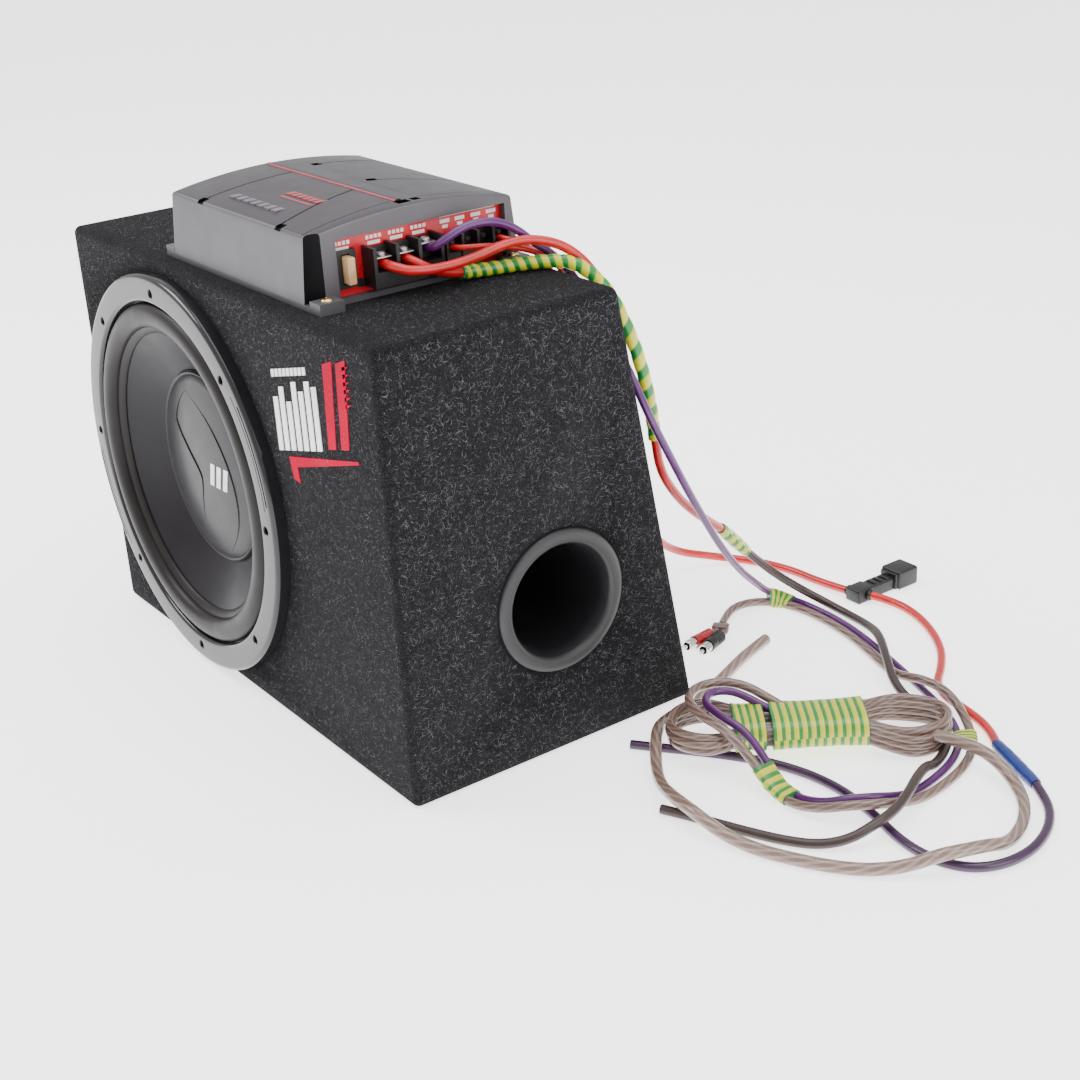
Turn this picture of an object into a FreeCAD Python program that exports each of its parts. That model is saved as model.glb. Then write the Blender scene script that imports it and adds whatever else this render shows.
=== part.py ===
import FreeCAD
import Part
import math
import os
import Sketcher

# Powered car subwoofer: a carpeted wedge box with a 12 inch driver, a side port and an
# amplifier screwed on top, with its wiring.  Origin: centre of the base, on the floor.
# +X runs to the port side, -Y to the driver side, +Z up.  Millimetres.

SIZES = {
    "box_width": 478, "box_height": 336, "base_depth": 253, "top_depth": 196.5,
    "carpet_thick": 3, "board_thick": 15,
    "woofer_across": -70.5, "woofer_up": 165.5, "cutout_radius": 138,
    "frame_radius": 157, "ring_radius": 161, "ring_height": 11, "ring_bore": 139,
    "bolt_circle": 148, "ring_hole": 3.5, "roll_outer": 138.6, "cone_radius": 118,
    "cap_radius": 78, "neck_radius": 26.1, "coil_radius": 27.2, "pole_radius": 24,
    "plate_radius": 58, "magnet_radius": 64, "gap_radius": 28.4,
    "port_along": 6.2, "port_up": 120.5, "port_flange": 54, "port_bore": 40.5, "port_length": 150,
    "port_hole": 44, "cup_across": 100, "cup_up": 170, "cup_radius": 38, "cup_bore": 26,
    "cup_hole": 33, "post_radius": 5, "post_gap": 18,
    "amp_left": -72, "amp_right": 136, "amp_front": -112, "amp_back": 60, "amp_floor": 340,
    "amp_edge": 386, "amp_dome": 8, "amp_lean": 4.5, "amp_wall": 4, "amp_end": 6,
    "panel_front": -88, "panel_back": 50, "panel_top": 381, "panel_thick": 2,
    "ear_length": 14, "ear_width": 19, "ear_height": 8, "slot_radius": 2.8,
    "power_pitch": 18, "power_first": -64, "speaker_pitch": 13, "speaker_first": -4,
    "jack_radius": 4.15, "jack_length": 8, "knob_radius": 5,
    "power_cable": 7, "remote_cable": 6, "signal_cable": 7, "speaker_cable": 9,
    "speaker_wire": 4.5, "wrap_across": 10, "splice_across": 11,
    "holder_length": 46, "holder_width": 17, "holder_height": 13,
}
GAP = 0.3              # clearance between parts that only lie side by side
WINDOWS = 6            # openings round the driver's frame
BOLTS = 8              # screws round the driver
ARC_SHARE = 0.45       # part of a cord's run that each of its arcs takes up
STEP_NAME_LIMIT = 60

doc = FreeCAD.newDocument("PoweredSubwoofer")
sheet = doc.addObject("Spreadsheet::Sheet", "Sizes")
for row, (alias, number) in enumerate(SIZES.items(), start=1):
    sheet.set(f"A{row}", alias)
    sheet.set(f"B{row}", str(number))
    sheet.setAlias(f"B{row}", alias)
doc.recompute()


class Size:
    """A length built from sheet cells: a sum of factor * cell, and a constant."""

    def __init__(self, cells, constant=0.0):
        self.cells = dict(cells)
        self.constant = float(constant)

    def __add__(self, other):
        other = size(other)
        cells = dict(self.cells)
        for alias, factor in other.cells.items():
            cells[alias] = cells.get(alias, 0.0) + factor
        return Size(cells, self.constant + other.constant)

    def __mul__(self, factor):
        scaled = {alias: part * factor for alias, part in self.cells.items()}
        return Size(scaled, self.constant * factor)

    def __sub__(self, other):
        return self + size(other) * -1.0

    def __truediv__(self, divisor):
        return self * (1.0 / divisor)

    def __neg__(self):
        return self * -1.0

    __radd__ = __add__
    __rmul__ = __mul__

    def __rsub__(self, other):
        return size(other) - self

    @property
    def value(self):
        total = self.constant
        for alias, factor in self.cells.items():
            total += factor * float(sheet.get(alias))
        return total

    @property
    def formula(self):
        parts = [f"{factor:.6f} * Sizes.{alias}" for alias, factor in self.cells.items()]
        return " + ".join(parts + [f"{self.constant:.6f}"])


def size(term):
    return term if isinstance(term, Size) else Size({}, term)


def S(alias):
    return Size({alias: 1.0})


def bind(thing, name, term):
    """Give a property its value, and its formula when it depends on the sheet."""
    term = size(term)
    if term.cells:
        thing.setExpression(name, term.formula)
    elif name.startswith("Placement.Base."):
        setattr(thing.Placement.Base, name[-1], term.value)
    else:
        setattr(thing, name, term.value)


class Place:
    """Where a sub-part's own frame stands: a base point, and one turn about an axis."""

    def __init__(self, x=0, y=0, z=0, axis=(1, 0, 0), turn=0.0):
        self.base = (size(x), size(y), size(z))
        self.rotation = FreeCAD.Rotation(FreeCAD.Vector(*axis), turn)

    def put(self, thing):
        base = FreeCAD.Vector(*(term.value for term in self.base))
        thing.Placement = FreeCAD.Placement(base, self.rotation)
        for letter, term in zip("xyz", self.base):
            if term.cells:
                thing.setExpression(f"Placement.Base.{letter}", term.formula)

    def fixed(self):
        base = FreeCAD.Vector(*(term.value for term in self.base))
        return FreeCAD.Placement(base, self.rotation)


HERE = Place()
NODES = []


def node(thing, label):
    thing.Label = label
    NODES.append(thing)
    return thing


def new_body(label, place=HERE):
    body = doc.addObject("PartDesign::Body", label)
    place.put(body)
    return node(body, label)


def sketch_on(body, role, offset=0):
    """A sketch on one of the body's own origin planes, moved along the plane's normal."""
    sketch = body.newObject("Sketcher::SketchObject", f"{body.Name}_sketch")
    plane = [item for item in body.Origin.OriginFeatures if item.Role == role][0]
    sketch.AttachmentSupport = [(plane, "")]
    sketch.MapMode = "FlatFace"
    offset = size(offset)
    shift = FreeCAD.Vector(0, 0, offset.value)
    sketch.AttachmentOffset = FreeCAD.Placement(shift, FreeCAD.Rotation())
    if offset.cells:
        sketch.setExpression("AttachmentOffset.Base.z", offset.formula)
    return sketch


def pin_point(sketch, geometry, vertex, point):
    """Fix a vertex at its distances from the sketch's origin."""
    for kind, term in zip(("DistanceX", "DistanceY"), point):
        rule = Sketcher.Constraint(kind, -1, 1, geometry, vertex, term.value)
        index = sketch.addConstraint(rule)
        if term.cells:
            sketch.setExpression(f"Constraints[{index}]", term.formula)


def outline(sketch, points):
    """A closed outline.  A third number on a point is the rise of an arc to the next one."""
    corners = [(size(p[0]), size(p[1])) for p in points]
    vectors = [FreeCAD.Vector(x.value, y.value, 0) for x, y in corners]
    first = sketch.GeometryCount
    count = len(points)
    for i, start in enumerate(vectors):
        end = vectors[(i + 1) % count]
        rise = points[i][2] if len(points[i]) > 2 else 0
        if rise:
            chord = end - start
            side = FreeCAD.Vector(-chord.y, chord.x, 0).normalize()
            middle = (start + end) / 2 + side * rise
            edge = Part.Arc(start, middle, end)
        else:
            edge = Part.LineSegment(start, end)
        sketch.addGeometry(edge, False)
    for i in range(count):
        arc_turned = len(points[i]) > 2 and points[i][2] > 0
        pin_point(sketch, first + i, 2 if arc_turned else 1, corners[i])
        pin_point(sketch, first + i, 1 if arc_turned else 2, corners[(i + 1) % count])


def circle(sketch, centre, radius):
    radius = size(radius)
    centre = tuple(size(term) for term in centre)
    middle = FreeCAD.Vector(centre[0].value, centre[1].value, 0)
    ring = Part.Circle(middle, FreeCAD.Vector(0, 0, 1), radius.value)
    index = sketch.addGeometry(ring, False)
    pin_point(sketch, index, 3, centre)
    rule = sketch.addConstraint(Sketcher.Constraint("Radius", index, radius.value))
    if radius.cells:
        sketch.setExpression(f"Constraints[{rule}]", radius.formula)


def pad(body, sketch, length):
    """Grow the sketch along its normal."""
    feature = body.newObject("PartDesign::Pad", f"{body.Name}_pad")
    feature.Profile = sketch
    bind(feature, "Length", length)
    doc.recompute()
    return feature


def cut(body, sketch, length, along_normal=True):
    """Cut the sketch out of the body, and make sure that something was cut."""
    before = body.Shape.Volume
    feature = body.newObject("PartDesign::Pocket", f"{body.Name}_cut")
    feature.Profile = sketch
    feature.Reversed = along_normal
    bind(feature, "Length", length)
    doc.recompute()
    if not body.Shape.Volume < before:
        raise ValueError(f"{feature.Name} cut nothing")
    return feature


def spin(body, sketch):
    feature = body.newObject("PartDesign::Revolution", f"{body.Name}_turn")
    feature.Profile = sketch
    feature.ReferenceAxis = (sketch, ["V_Axis"])
    feature.Angle = 360
    doc.recompute()
    return feature


def repeat_round(body, feature, count):
    pattern = body.newObject("PartDesign::PolarPattern", f"{body.Name}_round")
    pattern.Originals = [feature]
    axis = [item for item in body.Origin.OriginFeatures if item.Role == "Z_Axis"][0]
    pattern.Axis = (axis, [""])
    pattern.Angle = 360
    pattern.Occurrences = count
    body.Tip = pattern
    doc.recompute()


def prism(label, role, points, start, length, place=HERE):
    """An outline on one plane, grown from start by length along the plane's normal."""
    body = new_body(label, place)
    sketch = sketch_on(body, role, start)
    outline(sketch, points)
    pad(body, sketch, length)
    return body


def turned(label, profile, place):
    """A closed profile of (radius, height) turned round the place's own Z axis."""
    body = new_body(label, place)
    sketch = sketch_on(body, "XZ_Plane")
    outline(sketch, profile)
    spin(body, sketch)
    return body


def round_cut(body, role, centre, radius, start, length, along_normal=True):
    sketch = sketch_on(body, role, start)
    circle(sketch, centre, radius)
    return cut(body, sketch, length, along_normal)


def rectangle(low, high):
    return [(low[0], low[1]), (high[0], low[1]), (high[0], high[1]), (low[0], high[1])]


def block(label, low, high):
    """A plain box between its lowest and highest corners."""
    box = doc.addObject("Part::Box", label)
    for name, near, far in zip(("Length", "Width", "Height"), low, high):
        bind(box, name, size(far) - near)
    Place(*low).put(box)
    return node(box, label)


def group(label, shapes):
    """Several separate solids that share one node."""
    feature = doc.addObject("Part::Feature", label)
    feature.Shape = Part.makeCompound(shapes)
    return node(feature, label)


def rod(radius, length, base, direction=(0, 0, 1)):
    return Part.makeCylinder(radius, length, FreeCAD.Vector(*base), FreeCAD.Vector(*direction))


def cuboid(low, high):
    sides = [far - near for near, far in zip(low, high)]
    return Part.makeBox(*sides, FreeCAD.Vector(*low))


# ---------------------------------------------------------------- driving places

HALF_WIDTH = S("box_width") / 2
CARPET = S("carpet_thick")
BOARD = S("board_thick")
FRONT = -S("base_depth") / 2
SLANT = (S("base_depth").value - S("top_depth").value) / S("box_height").value
BACK_TURN = math.degrees(math.atan(SLANT))
SQUARE = math.sqrt(1.0 + SLANT * SLANT)

WOOFER = Place(S("woofer_across"), FRONT, S("woofer_up"), turn=90)
PORT = Place(HALF_WIDTH, S("port_along"), S("port_up"), axis=(0, 1, 0), turn=90)


def back_line(height, depth=0.0):
    """Where the slanted back stands at a height, with depth measured into the box."""
    height = size(height)
    return S("base_depth") / 2 - height * SLANT - size(depth) * SQUARE


CUP = Place(S("cup_across"), back_line(S("cup_up")), S("cup_up"), turn=BACK_TURN - 90)


# ---------------------------------------------------------------- the box

def make_boards():
    """Six boards.  The two side boards cover the ends of the other four."""
    skin = CARPET
    inner = CARPET + BOARD
    low = CARPET
    high = S("box_height") - CARPET
    inside = HALF_WIDTH - inner
    span = inside * 2
    front = FRONT + skin
    front_inner = FRONT + inner

    baffle = new_body("front_baffle")
    sketch = sketch_on(baffle, "XZ_Plane", -front_inner)
    outline(sketch, rectangle((-inside, low), (inside, high)))
    circle(sketch, (S("woofer_across"), S("woofer_up")), S("cutout_radius"))
    pad(baffle, sketch, BOARD)

    back = prism("back_panel", "YZ_Plane", [
        (back_line(low, inner), low), (back_line(low, skin), low),
        (back_line(high, skin), high), (back_line(high, inner), high)], -inside, span)
    round_cut(back, "XZ_Plane", (S("cup_across"), S("cup_up")), S("cup_hole"), 0, 200, False)

    for label, bottom, top in (("bottom_panel", low, low + BOARD), ("top_panel", high - BOARD, high)):
        prism(label, "YZ_Plane", [
            (front_inner, bottom), (back_line(bottom, inner), bottom),
            (back_line(top, inner), top), (front_inner, top)], -inside, span)

    for label, start in (("left_panel", -HALF_WIDTH + skin), ("right_panel", inside)):
        panel = prism(label, "YZ_Plane", [
            (front, low), (back_line(low, skin), low),
            (back_line(high, skin), high), (front, high)], start, BOARD)
        if label == "right_panel":
            round_cut(panel, "YZ_Plane", (S("port_along"), S("port_up")), S("port_hole"), 0, 300)


def make_carpet():
    """A skin over the front, top, back and both sides, and a piece under the base."""
    skin = CARPET
    edge = HALF_WIDTH - skin
    top = S("box_height")
    carpet = prism("carpet_skin", "YZ_Plane", [
        (FRONT, skin), (back_line(skin), skin), (back_line(top), top), (FRONT, top)],
        -HALF_WIDTH, HALF_WIDTH * 2)
    hollow = sketch_on(carpet, "YZ_Plane", -edge)
    outline(hollow, [
        (FRONT + skin, skin), (back_line(skin, skin), skin),
        (back_line(top - skin, skin), top - skin), (FRONT + skin, top - skin)])
    cut(carpet, hollow, edge * 2)
    driver = (S("woofer_across"), S("woofer_up"))
    round_cut(carpet, "XZ_Plane", driver, S("cutout_radius"), 0, 200)
    terminals = (S("cup_across"), S("cup_up"))
    round_cut(carpet, "XZ_Plane", terminals, S("cup_hole"), 0, 200, False)
    round_cut(carpet, "YZ_Plane", (S("port_along"), S("port_up")), S("port_hole"), 0, 300)
    block("carpet_base", (-HALF_WIDTH, FRONT, 0), (HALF_WIDTH, -FRONT, skin))


# ---------------------------------------------------------------- the driver
# Its own frame stands on the front carpet, with height measured out of the box.

CONE_SLOPE = 0.56      # rise of the cone for each millimetre outwards
CONE_RIM = 2.7         # height of the cone's edge


def cone_face(radius):
    return (size(radius) - S("cone_radius")) * CONE_SLOPE + CONE_RIM


def make_frame():
    wall = S("cutout_radius") - 3
    outer = [(S("frame_radius"), 0), (wall, 0), (wall, -13), (109, -60), (70, -60), (70, -82),
             (30, -82)]
    inner = [(30, -79.5), (67.5, -79.5), (67.5, -57.5), (107.6, -57.5), (wall - 2.5, -12),
             (wall - 2.5, 3), (S("frame_radius"), 3)]
    body = turned("woofer_frame", outer + inner, WOOFER)
    sketch = sketch_on(body, "YZ_Plane")
    outline(sketch, rectangle((-24, -52), (24, -19)))
    repeat_round(body, cut(body, sketch, 160), WINDOWS)
    hole = round_cut(body, "XY_Plane", (S("bolt_circle"), 0), 2.4, -5, 20)
    repeat_round(body, hole, BOLTS)


def make_trim_ring():
    edge = S("ring_radius")
    top = S("ring_height")
    bore = S("ring_bore")
    body = turned("trim_ring", [
        (edge, 0), (edge, top - 1.5), (edge - 1.5, top), (bore + 2, top), (bore, top - 2),
        (bore, 3 + GAP), (bore + 2, 3 + GAP), (bore + 2, top - 3), (edge - 2.5, top - 3),
        (edge - 2.5, 0)], WOOFER)
    hole = round_cut(body, "XY_Plane", (S("bolt_circle"), 0), S("ring_hole"), 0, 20)
    repeat_round(body, hole, BOLTS)


def make_woofer_screws():
    shapes = []
    for i in range(BOLTS):
        angle = 2 * math.pi * i / BOLTS
        x = S("bolt_circle").value * math.cos(angle)
        y = S("bolt_circle").value * math.sin(angle)
        screw = rod(2.2, 17, (x, y, -14)).fuse(rod(3.3, 2, (x, y, 3)))
        shapes.append(screw)
    screws = group("woofer_screws", shapes)
    WOOFER.put(screws)


def make_moving_parts():
    roll = S("roll_outer")
    rim = S("cone_radius")
    turned("surround", [
        (roll, 3), (roll, 4.2, -7.8), (rim - 0.6, 4.2), (rim - 5.4, 1.4), (rim - 5.4, 0.1),
        (rim + 0.9, 3.3, 7.0), (roll - 3.1, 3)], WOOFER)
    neck = S("neck_radius")
    turned("cone", [
        (rim, CONE_RIM), (neck, cone_face(neck)), (neck, cone_face(neck) - 1.3),
        (rim, CONE_RIM - 1.3)], WOOFER)
    cap = S("cap_radius")
    foot = cone_face(cap)
    dome = ((0, 8.6), (20, 8.4), (40, 7.2), (60, 4.8), (cap, 1.6))
    upper = [(radius, foot + rise) for radius, rise in dome]
    lower = [(radius, foot + rise - 1.1) for radius, rise in reversed(dome[:-1])]
    turned("dust_cap", upper + [(cap - 1, foot + 0.4)] + lower, WOOFER)
    wall = neck - 0.3
    coil = S("coil_radius")
    turned("voice_coil", [
        (wall - 0.8, -96), (wall, -96), (wall, -95), (coil, -95), (coil, -81), (wall, -81),
        (wall, -46), (wall - 0.8, -46)], WOOFER)


def make_spider():
    """A corrugated ring: a zigzag of four folds between the former and the frame's ledge."""
    start = S("neck_radius") - 0.3
    fold = 6.0
    upper = []
    for i in range(9):
        height = -55.5 if i % 2 else -53.5
        upper.append((start + 1 + fold * i, height))
    lower = [(radius, height - 0.9) for radius, height in reversed(upper)]
    edge = S("neck_radius") + 58
    profile = [(start, -53.5)] + upper[1:] + [(edge, -56.4), (edge, -57.3)] + lower[:-1]
    turned("spider", profile + [(start, -54.4)], WOOFER)


def make_motor():
    plate = S("plate_radius")
    gap = S("gap_radius")
    pole = S("pole_radius")
    turned("top_plate", [(gap, -90), (plate, -90), (plate, -82), (gap, -82)], WOOFER)
    magnet = S("magnet_radius")
    turned("magnet", [(34, -108), (magnet, -108), (magnet, -90), (34, -90)], WOOFER)
    turned("back_plate", [
        (0, -116), (plate, -116), (plate, -108), (pole, -108), (pole, -80), (0, -80)], WOOFER)


def make_woofer_terminals():
    """Two push tabs on a card fixed to the frame's cup, towards the rear terminals."""
    card = cuboid((70, -14, -76), (73, 14, -62))
    tabs = [cuboid((73, y - 3, -72), (81, y + 3, -71)) for y in (-8, 8)]
    terminals = group("woofer_terminals", [card] + tabs)
    WOOFER.put(terminals)


# ---------------------------------------------------------------- port and rear terminals

def make_port():
    bore = S("port_bore")
    edge = S("port_flange")
    inner_end = -S("port_length")
    turned("port_tube", [
        (edge, 0), (edge, 1.6, -0.5), (edge - 3, 3.6), (edge - 5.5, 3.6, -2.2), (bore, -7),
        (bore, inner_end), (bore + 2.5, inner_end), (bore + 2.5, -12), (bore + 3.3, -9),
        (bore + 3.3, 0)], PORT)


def make_terminal_cup():
    rim = S("cup_radius")
    bore = S("cup_bore")
    turned("terminal_cup", [
        (0, -20), (bore + 2, -20), (bore + 2, 0), (rim, 0), (rim, 2), (rim - 1, 3), (bore, 3),
        (bore, -17.5), (0, -17.5)], CUP)
    reach = S("post_gap").value / 2
    radius = S("post_radius").value
    posts = []
    for side in (-1, 1):
        post = rod(radius, 29, (side * reach, 0, -17.5))
        posts.append(post.fuse(rod(2, 4, (side * reach, 0, -24))))
    CUP.put(group("binding_posts", posts))
    screws = []
    for i in range(4):
        angle = math.pi * (0.25 + i / 2)
        x = 32.5 * math.cos(angle)
        y = 32.5 * math.sin(angle)
        screws.append(rod(1.6, 14, (x, y, -11)).fuse(rod(3, 1.6, (x, y, 3))))
    CUP.put(group("terminal_cup_screws", screws))


# ---------------------------------------------------------------- the amplifier

PANEL_X = S("amp_right") - S("amp_end") - S("panel_thick")


def make_amp_shell():
    left = S("amp_left")
    right = S("amp_right")
    front = S("amp_front")
    back = S("amp_back")
    floor = S("amp_floor")
    edge = S("amp_edge")
    lean = S("amp_lean")
    wall = S("amp_wall")
    rise = S("amp_dome").value
    shell = prism("amp_shell", "YZ_Plane", [
        (front, floor), (front + lean, edge, -rise * -1), (back - lean, edge), (back, floor)],
        left, right - left)
    sketch = sketch_on(shell, "YZ_Plane", left + wall)
    outline(sketch, [
        (front + wall, floor), (front + lean + wall, edge - wall), (back - lean - wall, edge - wall),
        (back - wall, floor)])
    cut(shell, sketch, right - left - wall - S("amp_end"))
    window = sketch_on(shell, "YZ_Plane", right - S("amp_end") - 1)
    outline(window, rectangle((S("panel_front"), floor), (S("panel_back"), S("panel_top"))))
    cut(shell, window, 20)
    window = sketch_on(shell, "YZ_Plane", left - 1)
    outline(window, rectangle((S("panel_front"), floor + 4), (S("panel_back") - 8, S("panel_top"))))
    cut(shell, window, wall + 2)
    cove = sketch_on(shell, "XY_Plane", floor - 5)
    outline(cove, [(right - 9, front - 5), (right + 5, front - 5), (right + 5, front + 15),
                   (right, front + 15), (right - 6.5, front + 12), (right - 9, front + 5)])
    cut(shell, cove, 80)


def make_amp_base():
    """A tray under the shell, with a slotted ear beyond each corner."""
    floor = S("box_height")
    left = S("amp_left")
    right = S("amp_right")
    front = S("amp_front")
    back = S("amp_back")
    base = prism("amp_base", "XY_Plane", rectangle((left, front), (right, back)), floor,
                 S("amp_floor") - floor)
    for near, far in ((left - S("ear_length"), left), (right, right + S("ear_length"))):
        for low, high in ((front, front + S("ear_width")), (back - S("ear_width"), back)):
            ear = sketch_on(base, "XY_Plane", floor)
            outline(ear, rectangle((near, low), (far, high)))
            pad(base, ear, S("ear_height"))
            middle = ((near + far) / 2, (low + high) / 2)
            round_cut(base, "XY_Plane", middle, S("slot_radius"), floor - 1, 20)


def amp_ear_centres():
    xs = (S("amp_left").value - S("ear_length").value / 2,
          S("amp_right").value + S("ear_length").value / 2)
    ys = (S("amp_front").value + S("ear_width").value / 2,
          S("amp_back").value - S("ear_width").value / 2)
    return [(x, y) for x in xs for y in ys]


def make_amp_screws():
    top = S("box_height").value + S("ear_height").value
    shapes = []
    for x, y in amp_ear_centres():
        shapes.append(rod(2.2, 20, (x, y, top - 20)).fuse(rod(4.2, 2, (x, y, top))))
    group("amp_screws", shapes)


def make_end_panels():
    floor = S("amp_floor")
    low_y = S("panel_front") - 3
    high_y = S("panel_back") + 1.5
    top = S("panel_top") + 0.8
    label = prism("label_panel", "YZ_Plane", rectangle((low_y, floor), (high_y, top)), PANEL_X,
                  S("panel_thick"))
    slot = sketch_on(label, "YZ_Plane", PANEL_X - 5)
    outline(slot, rectangle((-88 - GAP, 346 - GAP), (-72 + GAP, 372 + GAP)))
    cut(label, slot, 20)
    inner = S("amp_left") + S("amp_wall")
    block("control_panel", (inner, low_y, floor), (inner + 2, high_y - 8, S("panel_top") + 0.8))


def make_power_terminals():
    """A stepped block with four barriers, and a clamp and screw in each of three bays."""
    face = (PANEL_X + S("panel_thick")).value
    first = S("power_first").value
    pitch = S("power_pitch").value
    body = cuboid((face, first, 344), (face + 16, first + 3 * pitch, 355))
    for i in range(4):
        y = first + i * pitch
        body = body.fuse(cuboid((face, y - 1.3, 344), (face + 16, y + 1.3, 372)))
    body = body.fuse(cuboid((face, first, 355), (face + 3, first + 3 * pitch, 370)))
    group("power_terminal_block", [body.removeSplitter()])
    clamps = []
    for i in range(3):
        y = first + (i + 0.5) * pitch
        low = 363.4 if i < 2 else 366.6
        plate = cuboid((face + 3.2, y - 6, low), (face + 13, y + 6, low + 1.2))
        clamps.append(plate.fuse(rod(3.6, 2.4, (face + 8, y, low + 1.2))))
    group("power_clamps", clamps)


def make_speaker_terminals():
    face = (PANEL_X + S("panel_thick")).value
    first = S("speaker_first").value
    pitch = S("speaker_pitch").value
    body = cuboid((face, first, 348), (face + 12, first + 4 * pitch, 356))
    for i in range(5):
        y = first + i * pitch
        body = body.fuse(cuboid((face, y - 1, 348), (face + 13, y + 1, 368)))
    body = body.fuse(cuboid((face, first, 356), (face + 3, first + 4 * pitch, 367)))
    group("speaker_terminal_block", [body.removeSplitter()])
    screws = []
    for i in range(4):
        y = first + (i + 0.5) * pitch
        screws.append(rod(2.8, 2, (face + 7.5, y, 361.5)))
    screws.append(rod(3, 2, (face, -68.5, 347), (1, 0, 0)))
    group("panel_screws", screws)


def make_fuse():
    """A blade fuse standing out of its socket; it pulls straight out."""
    face = (PANEL_X + S("panel_thick")).value
    socket = cuboid((face - 12, -88, 346), (face + 4, -72, 372))
    socket = socket.cut(cuboid((face - 10, -83.2, 348.5), (face + 5, -76.8, 369.5)))
    group("fuse_socket", [socket])
    cap = cuboid((face + 1, -83, 349.5), (face + 12, -77, 368.5))
    blades = [cuboid((face - 8, -80.4, z), (face + 1, -79.6, z + 5)) for z in (350.5, 362.5)]
    fuse = cap
    for blade in blades:
        fuse = fuse.fuse(blade)
    group("blade_fuse", [fuse])


CONTROL_Z = 362


def make_controls():
    """The far end: two signal sockets, a gain knob, two slide switches and a power light."""
    face = (S("amp_left") + S("amp_wall")).value
    radius = S("jack_radius").value
    reach = S("jack_length").value + 2
    jacks = []
    for y in (12, 28):
        barrel = rod(radius, reach, (face, y, CONTROL_Z), (-1, 0, 0))
        barrel = barrel.cut(rod(1.7, reach, (face, y, CONTROL_Z), (-1, 0, 0)))
        jacks.append(barrel.fuse(rod(6.5, 2, (face, y, CONTROL_Z), (-1, 0, 0)).cut(
            rod(3, 3, (face, y, CONTROL_Z), (-1, 0, 0)))))
    group("signal_jacks", jacks)
    knob = rod(S("knob_radius").value, 7, (face - GAP - 8, -10, CONTROL_Z), (1, 0, 0))
    knob = knob.cut(cuboid((face - 9, -10.6, CONTROL_Z), (face - 7.2, -9.4, CONTROL_Z + 5)))
    group("gain_knob", [knob])
    for label, y in (("filter_switch", -34), ("boost_switch", -58)):
        group(label, [cuboid((face - 4, y - 2, CONTROL_Z - 2), (face - GAP, y + 2, CONTROL_Z + 2))])
    group("power_light", [rod(1.5, 3, (face - 3, -76, CONTROL_Z), (1, 0, 0))])


def make_electronics():
    board = cuboid((-58, -98, 347), (108, 44, 348.6))
    feet = [rod(3, 7, (x, y, 340)) for x in (-52, 100) for y in (-92, 38)]
    group("circuit_board", [board] + feet)
    core = Part.makeTorus(15, 7, FreeCAD.Vector(-20, -55, 355.6))
    caps = [rod(8, 24, (x, y, 348.6)) for x in (35, 55, 75) for y in (-10, 12)]
    chips = [cuboid((x, -103, 350), (x + 15, -98.5, 368)) for x in (-40, -15, 10, 35, 60, 85)]
    group("board_components", [core] + caps + chips)


# ---------------------------------------------------------------- cords
# Each route is a list of points chosen along the cord; straight runs between them are
# joined by arcs.  Heights keep a cord clear of those that it crosses.

POWER_LEAD = [
    (138, -55, 359.4), (149, -54.5, 359), (158.5, -44, 354.5), (161.5, -18, 353), (161, 8, 355),
    (162, 30, 360), (165, 52, 360), (173, 75, 352), (181, 93, 332), (180, 109, 296),
    (167, 126, 248), (146, 146, 194), (120, 170, 140), (94, 196, 92), (72, 224, 50),
    (59, 258, 21), (66, 296, 7), (94, 321, 4), (130, 332, 3.8), (166, 331, 4.6), (197.3, 334, 6.5)]
POWER_TAIL = [
    (214.7, 341, 6.5), (235, 349, 5), (264, 346, 3.8), (296, 331, 3.8), (322, 312, 3.8),
    (341, 290, 3.8), (354, 271, 3.8), (372, 260.5, 3.8), (394, 256.5, 3.8), (416, 251.5, 3.8),
    (434, 242.5, 4.2), (447, 232.5, 5)]
PURPLE_TAIL = [
    (498, 212, 5), (514, 204, 3.8), (530, 190, 3.8), (542, 171, 3.8), (549, 149, 3.8),
    (548.5, 126, 3.8), (540, 107, 3.8), (524, 96, 3.8), (503, 92.5, 3.8), (481, 95, 3.8),
    (459, 101.5, 3.8), (437, 106.5, 3.8), (414, 109, 3.8), (391, 107.5, 3.8), (369, 102, 3.8),
    (347, 92.5, 3.8), (325, 78.5, 3.8), (303, 63, 3.8), (287, 50.5, 3.8), (271, 39, 3.8)]
GROUND_LEAD = [(138, -37, 359.4), (146.5, -36.5, 359), (153, -27, 352), (153.5, -12, 346.5),
               (151, 0, 343.6)]
TAPE_WRAP = [
    (151, 0, 343.6), (152, 20, 342), (157.5, 41, 342), (168, 60, 343), (182, 78, 341),
    (195, 95, 320), (202.5, 111, 276), (203.5, 121, 236), (201, 127, 200)]
GROUND_TAIL = [
    (201, 127, 200), (198.5, 133, 172), (196.5, 149, 147), (191, 170, 126), (184, 193, 108),
    (178, 210, 95)]
BROWN_LEAD = [
    (166, 246, 61), (163, 262, 46), (167, 279, 29), (180, 296, 14), (204, 306, 5),
    (232, 305, 4), (260, 295.5, 9), (284, 281.5, 14.8), (314, 258, 14.8), (338, 241.5, 8),
    (364, 234, 3.8), (392, 230.5, 3.8), (415, 217.5, 3.8), (428.5, 198, 3.8), (436, 180, 4.5),
    (442.5, 164, 13), (452, 145, 16.5), (463, 125, 17), (470, 106, 15), (472, 86, 13.5), (467, 66, 7),
    (455, 50, 3.8), (437, 37, 3.8), (414, 26, 3.8), (391, 16.5, 3.8), (370, 8, 3.8), (353, 0, 3.8)]
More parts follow.
